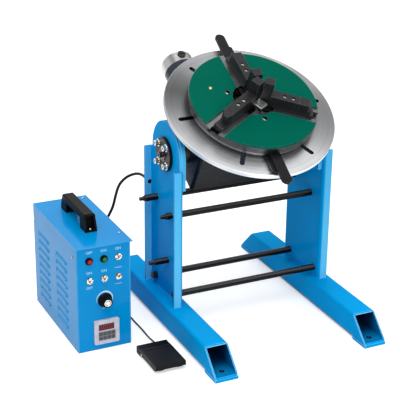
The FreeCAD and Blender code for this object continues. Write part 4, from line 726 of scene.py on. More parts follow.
BLACK_STEEL = Steel("black_steel", (0.018, 0.018, 0.02), roughness=0.34, edge_color=(0.14, 0.14, 0.15),
                    wear_and_highlight=0.6, metallic=0.6)
COVER_SCREW = Steel("cover_screw", (0.42, 0.43, 0.44), roughness=0.24, grain=(300.0, 300.0, 300.0),
                    wear_and_highlight=0.4)
PLATED = Steel("plated_steel", (0.66, 0.65, 0.62), roughness=0.2, grain=(300.0, 300.0, 300.0),
               edge_color=(0.92, 0.91, 0.88), wear_and_highlight=0.4)
TOGGLE_STEEL = TippedSteel("toggle_steel", (0.92, 0.92, 0.93), roughness=0.16, grain=(300.0, 300.0, 300.0),
                           edge_color=(0.98, 0.98, 0.98), wear_and_highlight=0.3)
JAW_SCREW = Steel("jaw_screw", (0.06, 0.06, 0.065), roughness=0.28, edge_color=(0.7, 0.7, 0.72), wear_and_highlight=0.7)
NUT_NICKEL = PlatedNut("nut_nickel", (0.88, 0.78, 0.66), roughness=0.16, grain=(260.0, 260.0, 260.0),
                       edge_color=(1.0, 0.97, 0.93), wear_and_highlight=0.9)
BRONZE = Steel("bronze", (0.48, 0.33, 0.15), roughness=0.36, edge_color=(0.75, 0.6, 0.35))
BRASS = Steel("brass_pin", (0.78, 0.6, 0.3), roughness=0.26, edge_color=(0.95, 0.85, 0.6))
BELL = TurnedBell("turned_silver", (1.0, 0.99, 0.97))
GEAR_CASE = Casting("cast_grey", (0.38, 0.39, 0.4))
BLACK_PLASTIC = Plastic("black_plastic", (0.0045, 0.0045, 0.005), roughness=0.32, edge_gain=9.0,
                        gloss=0.035)
TREAD_PLASTIC = Plastic("tread_plastic", (0.007, 0.007, 0.0075), roughness=0.42, grain=520.0, depth=0.0001,
                        edge_gain=6.0, gloss=0.1)
CABLE_RUBBER = Plastic("cable_rubber", (0.008, 0.008, 0.009), roughness=0.45)
PALE_PLASTIC = Plastic("pale_plastic", (0.52, 0.52, 0.60), roughness=0.3, edge_gain=1.5)
KEY_GREY = Plastic("key_grey", (0.085, 0.085, 0.095), roughness=0.55, edge_gain=2.0)
PAD_GREY = Plastic("pad_grey", (0.24, 0.24, 0.26), roughness=0.5, edge_gain=1.4)
BOARD = Plastic("board_green", (0.02, 0.12, 0.05), roughness=0.5)
RED = Plastic("red_plastic", (0.38, 0.003, 0.008), roughness=0.2, edge_gain=1.1)
GREEN = Plastic("green_plastic", (0.004, 0.17, 0.02), roughness=0.2, edge_gain=1.6)
WINDOW_RED = Plastic("window_red", (0.075, 0.012, 0.016), roughness=0.12, depth=0.00001, edge_gain=1.2)
MARK_WHITE = Plastic("mark_white", (0.46, 0.68, 0.86), roughness=0.5, edge_gain=1.0)
# Colour of the painted glints in the chuck's face holes.
GLINT_WHITE = Plastic("painted_glint", (0.92, 0.93, 0.94), roughness=0.3, edge_gain=1.0)
SCALE_WHITE = Plastic("scale_white", (0.62, 0.78, 0.90), roughness=0.5, edge_gain=1.0)
CAP_SILVER = Steel("cap_silver", (0.82, 0.80, 0.76), roughness=0.22, grain=(500.0, 60.0, 60.0), wear_and_highlight=0.2)
SEGMENT = Lamp("segment_red", (0.30, 0.03, 0.035))

FINISHED_NODES: tuple[tuple[Finish, str], ...] = (
    (FOOT_BLUE, "left_foot right_foot"),
    (FRAME_BLUE, "left_upright right_upright pivot_plates"),
    (BOX_BLUE, "control_chassis control_cover"),
    (BLACK_PAINT, "bearing_flanges tilt_housing housing_cover chuck_base chuck_levers"),
    (GREEN_FACE, "chuck_face_plate"),
    (ROD_BLACK, "tie_rods hanging_peg"),
    (MOTOR_PAINT, "motor_body"),
    (DARK_STEEL, "trunnions bearing_housing spindle spindle_gear spindle_nut drive_pinion scroll_ring"),
    (BLACK_STEEL, "tie_rod_bolts table_bolts"),
    (PLATED, "flange_bolts spindle_bearings pedal_pin"),
    (JAW_SCREW, "trunnion_screws"),
    (TABLE_STEEL, "rotary_table"),
    (CHUCK_STEEL, "chuck_body"),
    (JAW_STEEL, "master_jaw_1 master_jaw_2 master_jaw_3"),
    (JAW_BLACK, "top_jaw_1 top_jaw_2 top_jaw_3"),
    (BRONZE, "pivot_bushes"),
    (BRASS, "locating_pin"),
    (NUT_NICKEL, "panel_bushes"),
    (TOGGLE_STEEL, "power_toggle mode_toggle reverse_toggle output_toggle"),
    (BELL, "motor_end_bell"),
    (GEAR_CASE, "gearhead"),
    (BLACK_PLASTIC, "cable_gland control_handle button_collars rear_sockets speed_knob"),
    (BLACK_PLASTIC, "pedal_base pedal_switch"),
    (TREAD_PLASTIC, "pedal_tread"),
    (CABLE_RUBBER, "main_cable pedal_cable"),
    (PALE_PLASTIC, "timer_case"),
    (BOARD, "power_supply"),
    (RED, "red_button"),
    (GREEN, "green_button"),
)
NODE_FINISHES: dict[str, Finish] = {node: finish for finish, nodes in FINISHED_NODES
                                    for node in nodes.split()}


# ------------------------------------------------------------------ mesh tools
def add_object(name: str, data: Any) -> bpy.types.Object:
    """Link a new object to the scene, at the origin.

    Args:
        name: its name.
        data: its mesh, curve, lamp or camera.

    Returns:
        The object.
    """
    obj = bpy.data.objects.new(name, data)
    bpy.context.scene.collection.objects.link(obj)
    return obj


def new_mesh(name: str, build: Callable[[bmesh.types.BMesh], None]) -> bpy.types.Object:
    """Make an object at the origin from a bmesh routine.

    Args:
        name: the piece's name.
        build: fills the empty bmesh.

    Returns:
        The linked object, with outward normals.
    """
    made = bmesh.new()
    build(made)
    bmesh.ops.remove_doubles(made, verts=made.verts, dist=1e-7)
    bmesh.ops.recalc_face_normals(made, faces=made.faces)
    mesh = bpy.data.meshes.new(name)
    made.to_mesh(mesh)
    made.free()
    return add_object(name, mesh)


def add_block(target: bmesh.types.BMesh, low: Point, high: Point) -> None:
    """Add a closed block between two corners.

    Args:
        target: the mesh.
        low: its corner with the least X, Y and Z.
        high: the opposite corner.
    """
    size = [h - l for l, h in zip(low, high)]
    middle = [(h + l) / 2 for l, h in zip(low, high)]
    place = Matrix.Translation(middle) @ Matrix.Diagonal((*size, 1.0))
    bmesh.ops.create_cube(target, size=1.0, matrix=place)


def add_skin(target: bmesh.types.BMesh, rows: Sequence[Sequence[Point]], loop: bool, ring: bool) -> None:
    """Join rows of points with four-sided faces, and close the ends that are left open.

    Args:
        target: the mesh.
        rows: the points of each row, equally many in all.
        loop: whether the last row joins the first.
        ring: whether the last point of each row joins its first.
    """
    made = [[target.verts.new(point) for point in row] for row in rows]
    for near, far in zip(made, made[1:] + made[:1] if loop else made[1:]):
        for k in range(len(near) if ring else len(near) - 1):
            j = (k + 1) % len(near)
            target.faces.new((near[k], near[j], far[j], far[k]))
    if not loop:
        target.faces.new(made[0])
        target.faces.new(made[-1])
    if not ring:
        target.faces.new([row[0] for row in made])
        target.faces.new([row[-1] for row in made])


def finish_piece(obj: bpy.types.Object, finish: Finish, body: str) -> bpy.types.Object:
    """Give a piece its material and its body.

    Args:
        obj: the piece.
        finish: the finish it shows.
        body: the CAD body that it moves with.

    Returns:
        The same piece.
    """
    obj.data.materials.clear()
    obj.data.materials.append(finish.material())
    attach(obj, body)
    log.info("%s rides on %s", obj.name, body)
    return obj


class Recess(Enum):
    """The drive cut in a screw's head."""

    CROSS = "cross"
    SOCKET = "socket"


@dataclass
class ScrewSet:
    """Equal screw heads on given seats, made by one geometry tree."""

    name: str
    seats: Sequence[tuple[Point, Point]]
    head_radius: float
    head_height: float
    recess: Recess
    finish: Finish
    body: str = "frame"
    slot: str = "bolt_steel"
    sides: int = 24
    chamfer: float = 0.35

    def build(self) -> bpy.types.Object:
        """Instance the head on each seat, turned to face its way.

        Returns:
            The finished piece.
        """
        obj = self._seat_cloud()
        modifier = obj.modifiers.new("screws", "NODES")
        modifier.node_group = self._tree()
        sizes = {"Head radius": self.head_radius, "Head height": self.head_height}
        for item in modifier.node_group.interface.items_tree:
            if item.name in sizes:
                modifier[item.identifier] = sizes[item.name]
        graph = bpy.context.evaluated_depsgraph_get()
        mesh = bpy.data.meshes.new_from_object(obj.evaluated_get(graph))
        obj.modifiers.clear()
        obj.data = mesh
        return finish_piece(obj, self.finish, self.body)

    def _seat_cloud(self) -> bpy.types.Object:
        """Make a mesh of loose points that carry their facing direction.

        Returns:
            The mesh object.
        """
        mesh = bpy.data.meshes.new(self.name + "_seats")
        mesh.from_pydata([seat for seat, _ in self.seats], [], [])
        facing = mesh.attributes.new("facing", "FLOAT_VECTOR", "POINT")
        for index, (_, way) in enumerate(self.seats):
            facing.data[index].vector = way
        return add_object(self.name, mesh)

    def _tree(self) -> bpy.types.NodeTree:
        """Build the geometry tree: a bevelled head, its recess, one copy on each point.

        Returns:
            The tree, with the head's radius and height as inputs.
        """
        tree = bpy.data.node_groups.new(self.name + "_tree", "GeometryNodeTree")
        for way in ("INPUT", "OUTPUT"):
            tree.interface.new_socket("Geometry", in_out=way, socket_type="NodeSocketGeometry")
        for label in ("Head radius", "Head height"):
            tree.interface.new_socket(label, in_out="INPUT", socket_type="NodeSocketFloat")
        g = Graph(tree)
        into = g.node("NodeGroupInput")
        radius = Level(g, into.outputs["Head radius"])
        height = Level(g, into.outputs["Head height"])
        straight = 1.0 - self.chamfer
        rim = g.node("GeometryNodeMeshCone", None,
                     {"Vertices": self.sides, "Radius Top": radius * 0.82, "Radius Bottom": radius,
                      "Depth": height * self.chamfer})
        wall = g.node("GeometryNodeMeshCylinder", None,
                      {"Vertices": self.sides, "Radius": radius, "Depth": height * straight})
        head = self._union(g, self._lifted(g, wall.outputs["Mesh"], height * (straight / 2.0)),
                           self._lifted(g, rim.outputs["Mesh"], height * straight))
        cut = g.node("GeometryNodeMeshBoolean", {"operation": "DIFFERENCE", "solver": "EXACT"},
                     {0: head, 1: self._cutter(g, radius, height)})
        direction = g.node("GeometryNodeInputNamedAttribute", {"data_type": "FLOAT_VECTOR"}, {0: "facing"})
        aim = g.node("FunctionNodeAlignRotationToVector", {"axis": "Z"}, {"Vector": direction.outputs[0]})
        copies = g.node("GeometryNodeInstanceOnPoints", None,
                        {"Points": into.outputs["Geometry"], "Instance": cut.outputs[0],
                         "Rotation": aim.outputs[0]})
        real = g.node("GeometryNodeRealizeInstances", None, {0: copies.outputs[0]})
        dressed = g.node("GeometryNodeSetMaterial", None,
                         {"Geometry": real.outputs[0], "Material": self.finish.material()})
        g.node("NodeGroupOutput", None, {0: dressed.outputs[0]})
        return tree

    @staticmethod
    def _lifted(g: Graph, shape: bpy.types.NodeSocket, amount: Level) -> bpy.types.NodeSocket:
        """A shape moved straight up by an amount."""
        return g.node("GeometryNodeTransform", None,
                      {"Geometry": shape, "Translation": g.join(z=amount)}).outputs[0]

    @staticmethod
    def _union(g: Graph, first: bpy.types.NodeSocket, second: bpy.types.NodeSocket) -> bpy.types.NodeSocket:
        """Merge two closed shapes.

        Args:
            g: the geometry graph.
            first: one shape.
            second: the other.

        Returns:
            The merged shape.
        """
        both = g.node("GeometryNodeMeshBoolean", {"operation": "UNION", "solver": "EXACT"}, {1: first})
        g.feed(both.inputs[1], second)
        return both.outputs[0]

    def _cutter(self, g: Graph, radius: Level, height: Level) -> bpy.types.NodeSocket:
        """Make the tool that leaves the drive recess.

        Args:
            g: the geometry graph.
            radius: the head's radius.
            height: the head's height.

        Returns:
            The tool, in its place over the head.
        """
        deep = height * 1.2
        if self.recess is Recess.SOCKET:
            hexagon = g.node("GeometryNodeMeshCylinder", None,
                             {"Vertices": 6, "Radius": radius * 0.55, "Depth": deep})
            shape = hexagon.outputs["Mesh"]
        else:
            thin, wide = radius * 0.26, radius * 1.15
            shape = self._union(g, *[g.node("GeometryNodeMeshCube", None, {"Size": size}).outputs["Mesh"]
                                     for size in (g.join(wide, thin, deep), g.join(thin, wide, deep))])
        return self._lifted(g, shape, height * 1.05)


# ------------------------------------------------------------------ studio
@dataclass
class Studio:
    """Camera, lamps, floor and world."""

    eye: Point = (-1.2524, -2.3938, 1.3652)
    aim: Point = (-0.0538, 0.0757, 0.2389)
    roll: float = math.radians(0.8)
    lens: float = 106.64
    ambient: float = 0.66
    floor_tone: float = 0.8
    floor_glow: float = 0.46
    floor_half: float = 14.0
    floor_drop: float = 0.4 * MM

    def build(self) -> None:
        """Set the camera first, then light and floor."""
        self.camera()
        self.world()
        self.lamps()
        self.floor()

    def camera(self) -> None:
        """Place a long lens at the front left, slightly rolled."""
        data = bpy.data.cameras.new("camera")
        data.lens, data.sensor_width = self.lens, 36.0
        data.clip_start, data.clip_end = 0.05, 60.0
        obj = add_object("camera", data)
        ahead = (Vector(self.aim) - Vector(self.eye)).normalized()
        right = ahead.cross(Vector((0, 0, 1))).normalized()
        up = right.cross(ahead)
        side = right * math.cos(self.roll) + up * math.sin(self.roll)
        top = up * math.cos(self.roll) - right * math.sin(self.roll)
        turn = Matrix((side, top, -ahead)).transposed().to_4x4()
        obj.matrix_world = Matrix.Translation(self.eye) @ turn
        bpy.context.scene.camera = obj

    def world(self) -> None:
        """White behind the object, graded from floor to ceiling in reflections, calmer as a light."""
        world = bpy.data.worlds.new("studio")
        world.use_nodes = True
        g = Graph(world.node_tree)
        g.tree.nodes.clear()
        path = g.node("ShaderNodeLightPath")
        way = g.node("ShaderNodeTexCoord").outputs["Generated"]
        side, _, up = g.split(way)
        graded = up.ramp(-0.25, 0.5, 0.28, 1.0) + side.ramp(-0.2, 0.9, 0.12, -0.18)
        seen = Level(g, path.outputs["Is Camera Ray"]) + path.outputs["Is Transmission Ray"]
        gloss = Level(g, path.outputs["Is Glossy Ray"])
        level = seen + gloss * graded + (1.0 - seen - gloss) * self.ambient
        back = g.node("ShaderNodeBackground", None, {"Color": WHITE, "Strength": level})
        g.node("ShaderNodeOutputWorld", None, {"Surface": back.outputs[0]})
        bpy.context.scene.world = world

    def lamps(self) -> None:
        """A broad key, a fill, and a strip from behind."""
        self._area("key", (-0.9, -0.9, 3.0), (-0.05, 0.0, 0.2), 2.3, 56.0)
        self._area("front", (0.1, -3.2, 1.2), (-0.1, 0.0, 0.2), 1.8, 24.0)
        self._area("back", (0.8, 2.2, 2.4), (0.0, 0.0, 0.4), 1.6, 22.0)

    @staticmethod
    def _area(name: str, place: Point, aim: Point, size: float, power: float) -> None:
        """Add a square area lamp that looks at a point.

        Args:
            name: the lamp's name.
            place: where it hangs.
            aim: the point it looks at.
            size: its side.
            power: its power in watts.
        """
        data = bpy.data.lights.new(name, "AREA")
        data.size, data.energy = size, power
        obj = add_object(name, data)
        obj.location = place
        obj.rotation_euler = (Vector(aim) - Vector(place)).to_track_quat("-Z", "Y").to_euler()

    def floor(self) -> None:
        """A pale floor that keeps the object's soft shadow, with a painted contact shadow under the feet,
        the box and the switch.
        """
        below = Matrix.Translation((0.0, 0.0, -self.floor_drop))
        obj = new_mesh("floor", lambda b: bmesh.ops.create_grid(
            b, x_segments=1, y_segments=1, size=self.floor_half, matrix=below))
        material = bpy.data.materials.new("floor_white")
        material.use_nodes = True
        g = Graph(material.node_tree)
        g.tree.nodes.clear()
        across, along, _ = g.split(g.node("ShaderNodeTexCoord").outputs["Object"])
        path = g.node("ShaderNodeLightPath")
        shown = (Level(g, path.outputs["Is Camera Ray"]) + path.outputs["Is Glossy Ray"]
                 + path.outputs["Is Transmission Ray"])
        # Painted contact shadow: the floor's glow is cut beneath the feet, the box and the switch.
        open_floor = 1.0 - self._shadow_footprint(across, along)
        tone = (self.floor_tone,) * 3 + (1.0,)
        lit = g.node("ShaderNodeBsdfDiffuse", None, {"Color": tone})
        glow = g.node("ShaderNodeEmission", None,
                      {"Color": WHITE, "Strength": shown * open_floor * self.floor_glow})
        both = g.node("ShaderNodeAddShader", None, {0: lit.outputs[0], 1: glow.outputs[0]})
        g.node("ShaderNodeOutputMaterial", None, {"Surface": both.outputs[0]})
        obj.data.materials.append(material)

    @staticmethod
    def _shadow_footprint(across: Level, along: Level) -> Level:
        """A soft mask of the floor that the feet, the box and the switch cover, where its glow is cut to
        leave a painted contact shadow.

        Args:
            across: the floor's X.
            along: the floor's Y.

        Returns:
            One beneath them and zero in the open.
        """
        covered: Any = 0.0
        for node in ("left_foot", "right_foot", "control_chassis", "pedal_base"):
            low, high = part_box(node)
            inside: Any = 1.0
            for level, near, far in ((across, low.x, high.x), (along, low.y, high.y)):
                reach = (far - near) / 2 - 4 * MM
                off = (level - (near + far) / 2).absolute()
                inside = off.ramp(reach - 6 * MM, reach, 1.0, 0.0) * inside
            covered = inside + covered
        return covered


# ------------------------------------------------------------------ leads
@dataclass
class Lead:
    """A free cable along the route's points."""

    name: str
    node: str
    route_mm: Sequence[Point]
    diameter: float
    length: float

    def build(self) -> bpy.types.Object:
        """Returns:
            The cable.
        """
        data = bpy.data.curves.new(self.name, "CURVE")
        data.dimensions = "3D"
        data.bevel_depth = self.diameter / 2
        data.bevel_resolution = 5
        data.use_fill_caps = True
        spline = data.splines.new("NURBS")
        spline.points.add(len(self.route_mm) - 1)
        for knot, place in zip(spline.points, self.route_mm):
            knot.co = (*[c * MM for c in place], 1.0)
        spline.order_u = 3
        spline.use_endpoint_u = True
        spline.resolution_u = 10
        obj = add_object(self.name, data)
        finish_piece(obj, CABLE_RUBBER, "frame")
        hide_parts(self.node)
        return obj


MAIN_LEAD = Lead("main_lead", "main_cable", [
    (-192, 126, 318), (-191.5, 150, 319), (-197, 175, 316), (-214, 193, 305), (-234, 197, 287),
    (-245, 194, 261), (-252, 193, 233), (-262, 199, 207), (-270, 212, 183), (-276, 232, 164),
    (-277, 258, 149), (-285, 284, 137), (-306, 302, 128), (-334, 303, 121), (-356, 286, 118.2),
    (-363, 260, 118), (-363, 245.9, 118)], 7 * MM, 0.4267)

PEDAL_LEAD = Lead("pedal_lead", "pedal_cable", [
    (-268, -108.5, 6), (-268, -88, 4.5), (-269, -60, 2.4), (-267.2, -20, 2.2), (-268.8, 32, 2.2),
    (-267.2, 86, 2.2), (-268.7, 138, 2.2), (-267.5, 182, 2.2), (-268.5, 218, 2.2), (-272, 250, 2.4),
    (-285, 278, 4), (-308, 292, 10), (-328, 285, 22), (-337, 267, 32), (-337.4, 245.9, 34)],
    4 * MM, 0.4817)


# ------------------------------------------------------------------ chuck
@dataclass
class Chuck:
    """Jaw screws and other small pieces of the chuck. All of its lengths are mm."""

    jaw_angles: tuple[float, ...] = (-150.0, -30.0, 90.0)
    jaw_shifts: tuple[float, ...] = (-11.5, 0.0, 0.0)
    screw_radii: tuple[float, ...] = (64.0, 84.0)
    screw_floor: float = 59.0
    face_top: float = 34.8
    hole_radius: float = 61.5
    hole_depth: float = 8.6
    hole_angles: tuple[float, ...] = (150.0, -90.0, 30.0)
    # Painted shade in the face holes: profile and sides of the dark sheet in each.
    hole_shade_profile: tuple[tuple[float, float], ...] = (
        (4.85, -6.0), (4.85, 0.0), (5.1, 0.12), (6.4, 0.12), (6.6, -0.4), (5.1, -0.6))
    hole_shade_sides: int = 32
    # Painted glint on each hole's chamfer: profile, radius, angle, half sweep and steps.
    glint_profile: tuple[tuple[float, float], ...] = ((0.32, 0.0), (-0.5, 3.2), (-0.9, 3.0), (-0.1, 0.0))
    glint_radius: float = 6.2
    glint_angle: float = -135.0
    glint_half: float = 72.0
    glint_steps: int = 18
    pad: tuple[tuple[float, float], ...] = ((3.0, 28.0), (12.5, 37.0), (43.0, 50.0))

    @staticmethod
    def at(right: float, back: float, height: float) -> Point:
        """A point of the tilted chuck from its places along the face and its height over the table."""
        return (TABLE_CENTRE[0] + right * MM,
                TABLE_CENTRE[1] + (back * math.cos(TILT) + height * HEAD_AXIS[1]) * MM,
                TABLE_CENTRE[2] + (back * math.sin(TILT) + height * HEAD_AXIS[2]) * MM)

    @classmethod
    def round_at(cls, radius: float, angle: float, height: float) -> Point:
        """A point of the tilted chuck from its radius, its angle in degrees and its height."""
        turn = math.radians(angle)
        return cls.at(radius * math.cos(turn), radius * math.sin(turn), height)

    def about_hole(self, hole: float, rise: float, reach: float, turn: float) -> Point:
        """Find a point about the axis of a hole in the face.

        Args:
            hole: the hole's angle on the face, in degrees.
            rise: height above the face.
            reach: distance from the hole's axis.
            turn: angle about that axis, in radians.

        Returns:
            The point.
        """
        angle = math.radians(hole)
        return self.at(self.hole_radius * math.cos(angle) + reach * math.cos(turn),
                       self.hole_radius * math.sin(angle) + reach * math.sin(turn), self.face_top + rise)

    def build(self) -> None:
        """Make every small piece of the chuck."""
        self.jaw_screws()
        self.face_screws()
        self.face_hole_shades()
        self.face_glints()
        self.jaw_pad()

    def jaw_screws(self) -> None:
        """Two socket screws deep in each top jaw."""
        for index, (angle, shift) in enumerate(zip(self.jaw_angles, self.jaw_shifts), start=1):
            seats = [(self.round_at(radius + shift, angle, self.screw_floor), HEAD_AXIS)
                     for radius in self.screw_radii]
            ScrewSet(f"jaw_{index}_screws", seats, 5.2 * MM, 2.6 * MM, Recess.SOCKET, PLATED,
                     f"jaw_{index}").build()

    def face_screws(self) -> None:
        """A socket screw at the bottom of each hole in the face."""
        seats = [(self.round_at(self.hole_radius, angle, self.face_top - self.hole_depth), HEAD_AXIS)
                 for angle in self.hole_angles]
        ScrewSet("face_screws", seats, 4.7 * MM, 4.0 * MM, Recess.SOCKET, JAW_SCREW, "turntable").build()

    def face_hole_shades(self) -> None:
        """Dark flanged sheets in the holes of the face, standing in for the shade inside them."""
        turns = [math.tau * k / self.hole_shade_sides for k in range(self.hole_shade_sides)]

        def build(b: bmesh.types.BMesh) -> None:
            """Turn the dark sheet's profile about each hole's axis."""
            for hole in self.hole_angles:
                add_skin(b, [[self.about_hole(hole, rise, radius, turn) for turn in turns]
                             for radius, rise in self.hole_shade_profile], loop=True, ring=True)

        # Dark sheets that stand in for the shade inside the holes.
        finish_piece(new_mesh("face_hole_shades", build), BLACK_STEEL, "turntable")

    def face_glints(self) -> None:
        """A bright crescent on the front edge of each hole: a painted glint on its chamfer."""
        swings = [2.0 * k / self.glint_steps - 1.0 for k in range(self.glint_steps + 1)]

        def spot(hole: float, rise: float, inset: float, swing: float) -> Point:
            """A point of the glint, whose inset fades towards both of its ends."""
            reach = self.glint_radius - inset * math.cos(swing * math.pi / 2.0) * 0.98 - 0.02 * inset
            return self.about_hole(hole, rise, reach, math.radians(self.glint_angle + self.glint_half * swing))

        def build(b: bmesh.types.BMesh) -> None:
            """Two arcs that meet at their ends, with a little thickness."""
            for hole in self.hole_angles:
                add_skin(b, [[spot(hole, rise, inset, swing) for swing in swings]
                             for rise, inset in self.glint_profile], loop=True, ring=False)

        # Bright pieces that stand in for glints on the holes' chamfers.
        finish_piece(new_mesh("face_glints", build), GLINT_WHITE, "turntable")

    def jaw_pad(self) -> None:
        """The ground gripping pad on the side of the first jaw."""
        turn = math.radians(self.jaw_angles[0])
        ahead = Vector((math.cos(turn), math.sin(turn)))
        aside = Vector((-math.sin(turn), math.cos(turn)))
        (near, far), (inner, outer), heights = self.pad

        def build(b: bmesh.types.BMesh) -> None:
            """Add a block beside the jaw, in the jaw's own directions.

            Args:
                b: the empty mesh.
            """
            flats = [ahead * a + aside * c
                     for a, c in ((near, inner), (far, inner), (far, outer), (near, outer))]
            add_skin(b, [[self.at(*flat, height) for flat in flats] for height in heights],
                     loop=False, ring=True)
            bmesh.ops.bevel(b, geom=list(b.edges), offset=0.8 * MM, segments=2, affect="EDGES")

        finish_piece(new_mesh("jaw_1_pad", build), GROUND_STEEL, "jaw_1")


# ------------------------------------------------------------------ control box
@dataclass
class ControlBox:
    """Marks, knob cap, display and screws of the control box.

    Its places are mm: across from the cover's left side, up from the floor, out from the front panel.
    """

    low: Vector = field(default_factory=lambda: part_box("control_chassis")[0])
    sheet: float = 2.0
    width: float = 128.0
    lid: float = 256.0
    knob: tuple[float, float] = (65.0, 123.0)
    timer: tuple[float, float] = (67.5, 44.5)
    timer_proud: float = 4.0
    digit_step: float = 9.1
    key_side: float = 8.6
    key_steps: tuple[float, float] = (10.0, 11.0)
    mark_depth: float = 0.25
    letter_size: float = 8.6
    words: tuple[tuple[str, float, float], ...] = (
        ("OFF", 31.0, 243.5), ("ON", 65.0, 243.5), ("ON", 99.0, 243.0),
        ("ON", 30.0, 194.5), ("ON", 65.0, 194.5), ("OFF", 30.0, 158.0))
    rules: tuple[tuple[float, float], ...] = ((99.0, 197.0), (99.0, 157.0), (66.0, 102.0))
    cap_profile: tuple[tuple[float, float], ...] = (
        (4.6, 0.3), (5.2, -0.1), (6.0, -0.1), (6.6, 0.5), (7.9, 0.5), (8.3, 0.1), (8.3, -0.3))
    cap_sides: int = 48
    side_screws: tuple[tuple[float, float], ...] = (
        (285.0, 223.0), (23.0, 229.0), (285.0, 12.0), (25.0, 12.0))
    lid_screws: tuple[tuple[float, float], ...] = ((120.0, 281.0), (122.0, 50.0))

    def at(self, across: float, height: float, proud: float = 0.0) -> Point:
        """A point of the box from its three places."""
        return (self.low.x + (across - self.sheet) * MM, self.low.y - proud * MM, height * MM)

    def blocks(self, name: str, spans: Sequence[Sequence[float]]) -> bpy.types.Object:
        """Make one mesh of blocks on the front panel.

        Args:
            name: the mesh's name.
            spans: left, right, bottom, top, back and front of each block.

        Returns:
            The mesh object.
        """
        def build(b: bmesh.types.BMesh) -> None:
            """Add every block."""
            for left, right, bottom, top, back, front in spans:
                add_block(b, self.at(left, bottom, front), self.at(right, top, back))

        return new_mesh(name, build)

    def build(self) -> None:
        """Make every small piece of the box."""
        self.lettering()
        self.dial()
        self.knob_cap()
        self.display()
        self.screws()

    def lettering(self) -> None:
        """Generic switch marks in raised white print."""
        parts = [self._word(text, x, z) for text, x, z in self.words]
        parts.append(self.blocks("rules", [(x - 8.0, x + 8.0, z - 0.45, z + 0.45, 0.0, self.mark_depth)
                                           for x, z in self.rules]))
        finish_piece(self._joined("panel_marks", parts), MARK_WHITE, "frame")

    def _word(self, text: str, x: float, z: float) -> bpy.types.Object:
        """Make one word as a thin raised mesh on the panel.

        Args:
            text: the word.
            x: its middle across.
            z: its middle upwards.

        Returns:
            The mesh object.
        """
        data = bpy.data.curves.new("word", "FONT")
        data.body, data.size = text, self.letter_size * MM
        data.align_x, data.align_y = "CENTER", "CENTER"
        data.extrude = self.mark_depth * MM / 2
        data.resolution_u = 3
        letters = add_object("word", data)
        mesh = bpy.data.meshes.new_from_object(
            letters.evaluated_get(bpy.context.evaluated_depsgraph_get()))
        bpy.data.objects.remove(letters)
        spot = self.at(x, z, self.mark_depth / 2)
        mesh.transform(Matrix.Translation(spot) @ Matrix.Rotation(math.radians(90), 4, "X"))
        return add_object("word", mesh)

    @staticmethod
    def _joined(name: str, parts: Sequence[bpy.types.Object]) -> bpy.types.Object:
        """Merge several meshes into one.

        Args:
            name: the piece's name.
            parts: the mesh objects, which are removed.

        Returns:
            The merged object.
        """
        whole = bmesh.new()
        for part in parts:
            whole.from_mesh(part.data)
            bpy.data.objects.remove(part)
        mesh = bpy.data.meshes.new(name)
        whole.to_mesh(mesh)
        whole.free()
        return add_object(name, mesh)

    def dial(self) -> None:
        """The knob's tapering speed scale, widest towards the fast end."""
        inner, thinnest, widest = 18.4, 0.35, 3.2
        start, sweep, steps = 196.0, 214.0, 54
        rows = []
        for share in (step / steps for step in range(steps + 1)):
            angle = math.radians(start - sweep * share)
            outer = inner + thinnest + widest * math.sin(math.pi * share ** 1.25)
            rows.append([self.at(self.knob[0] + radius * math.cos(angle),
                                 self.knob[1] + radius * math.sin(angle), proud)
                         for radius, proud in ((inner, 0.0), (inner, self.mark_depth),
                                               (outer, self.mark_depth), (outer, 0.0))])
        scale = new_mesh("dial_scale", lambda b: add_skin(b, rows, loop=False, ring=True))
        finish_piece(scale, SCALE_WHITE, "frame")

    def knob_cap(self) -> None:
        """The knob's turned metal cap."""
        low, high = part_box("speed_knob")
        x, z = (low.x + high.x) / 2, (low.z + high.z) / 2
        turns = [math.tau * k / self.cap_sides for k in range(self.cap_sides)]
        rows = [[(x + radius * MM * math.cos(turn), low.y - proud * MM, z + radius * MM * math.sin(turn))
                 for turn in turns] for radius, proud in self.cap_profile]
        cap = new_mesh("knob_cap", lambda b: add_skin(b, rows, loop=False, ring=True))
        finish_piece(cap, CAP_SILVER, "speed_knob")

    def display(self) -> None:
        """The counter's window, its digits, its keys and the membrane under them."""
        x, z = self.timer
        out = self.timer_proud
        window = (x - 20.2, x + 17.6, z + 4.4, z + 19.2, out + 0.05, out + 0.6)
        finish_piece(self.blocks("display_window", [window]), WINDOW_RED, "frame")
        bars = [bar for index in range(4)
                for bar in self._digit(x - 15.0 + self.digit_step * index, z + 12.0, out + 0.62)]
        finish_piece(self.blocks("display_digits", bars), SEGMENT, "frame")
        membrane = (x - 20.6, x + 20.6, z - 20.4, z + 1.6, out + 0.3, out + 1.15)
        finish_piece(self.blocks("display_pad", [membrane]), PAD_GREY, "frame")
        corners_of = [(x - 19.3 + self.key_steps[0] * column, z - 19.3 + self.key_steps[1] * row)
                      for column in range(4) for row in range(2)]
        keys = self.blocks("display_keys", [
            (left, left + self.key_side, bottom, bottom + self.key_side, out + 0.9, out + 2.4)
            for left, bottom in corners_of])
        bevel = keys.modifiers.new("rounded", "BEVEL")
        bevel.width, bevel.segments, bevel.limit_method = 0.6 * MM, 2, "ANGLE"
        finish_piece(keys, KEY_GREY, "frame")

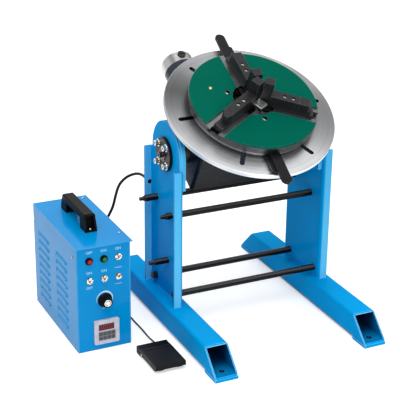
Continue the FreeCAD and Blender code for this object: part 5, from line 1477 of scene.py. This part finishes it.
    @staticmethod
    def _digit(x: float, z: float, back: float) -> list[tuple[float, ...]]:
        """Lay out a seven-segment zero.

        Args:
            x: its middle across.
            z: its middle upwards.
            back: where its bars begin.

        Returns:
            The spans of its six bars.
        """
        half_w, half_h, half_line = 2.4, 4.6, 0.45
        bars = [(-half_w, half_w, level - half_line, level + half_line) for level in (half_h, -half_h)]
        bars += [(side - half_line, side + half_line, base, base + half_h - 1.1)
                 for side in (-half_w, half_w) for base in (-half_h + 0.6, 0.5)]
        return [(x + left, x + right, z + bottom, z + top, back, back + 0.15)
                for left, right, bottom, top in bars]

    def screws(self) -> None:
        """Cross-head screws of the cover and the handle."""
        seats = []
        for depth, height in self.side_screws:
            seats += [(self.at(0.0, height, -depth), (-1.0, 0.0, 0.0)),
                      (self.at(self.width, height, -depth), (1.0, 0.0, 0.0))]
        seats += [(self.at(across, self.lid, -depth), (0.0, 0.0, 1.0)) for across, depth in self.lid_screws]
        ScrewSet("cover_screws", seats, 3.2 * MM, 1.8 * MM, Recess.CROSS, COVER_SCREW).build()
        low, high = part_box("control_handle")
        seats = [(((low.x + high.x) / 2, y, low.z + 5 * MM), (0.0, 0.0, 1.0))
                 for y in (low.y + 6.5 * MM, high.y - 6.5 * MM)]
        ScrewSet("handle_screws", seats, 3.6 * MM, 2.4 * MM, Recess.CROSS, PLATED).build()


def dress_nodes(finishes: Mapping[str, Finish]) -> None:
    """Give every CAD node its finish.

    Args:
        finishes: finish by node name.
    """
    for name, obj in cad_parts.items():
        obj.data.materials.clear()
        obj.data.materials.append(finishes[name].material())
        log.info("%s is %s", name, finishes[name].name)


def main() -> None:
    """Build the studio, the leads, the finishes and the small pieces, in that order."""
    logging.basicConfig(level=logging.INFO, format="%(name)s: %(message)s")
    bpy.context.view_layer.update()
    bpy.context.scene.view_settings.view_transform = "Standard"
    Studio().build()
    MAIN_LEAD.build()
    PEDAL_LEAD.build()
    dress_nodes(NODE_FINISHES)
    Chuck().build()
    ControlBox().build()


if __name__ == "__main__":
    main()
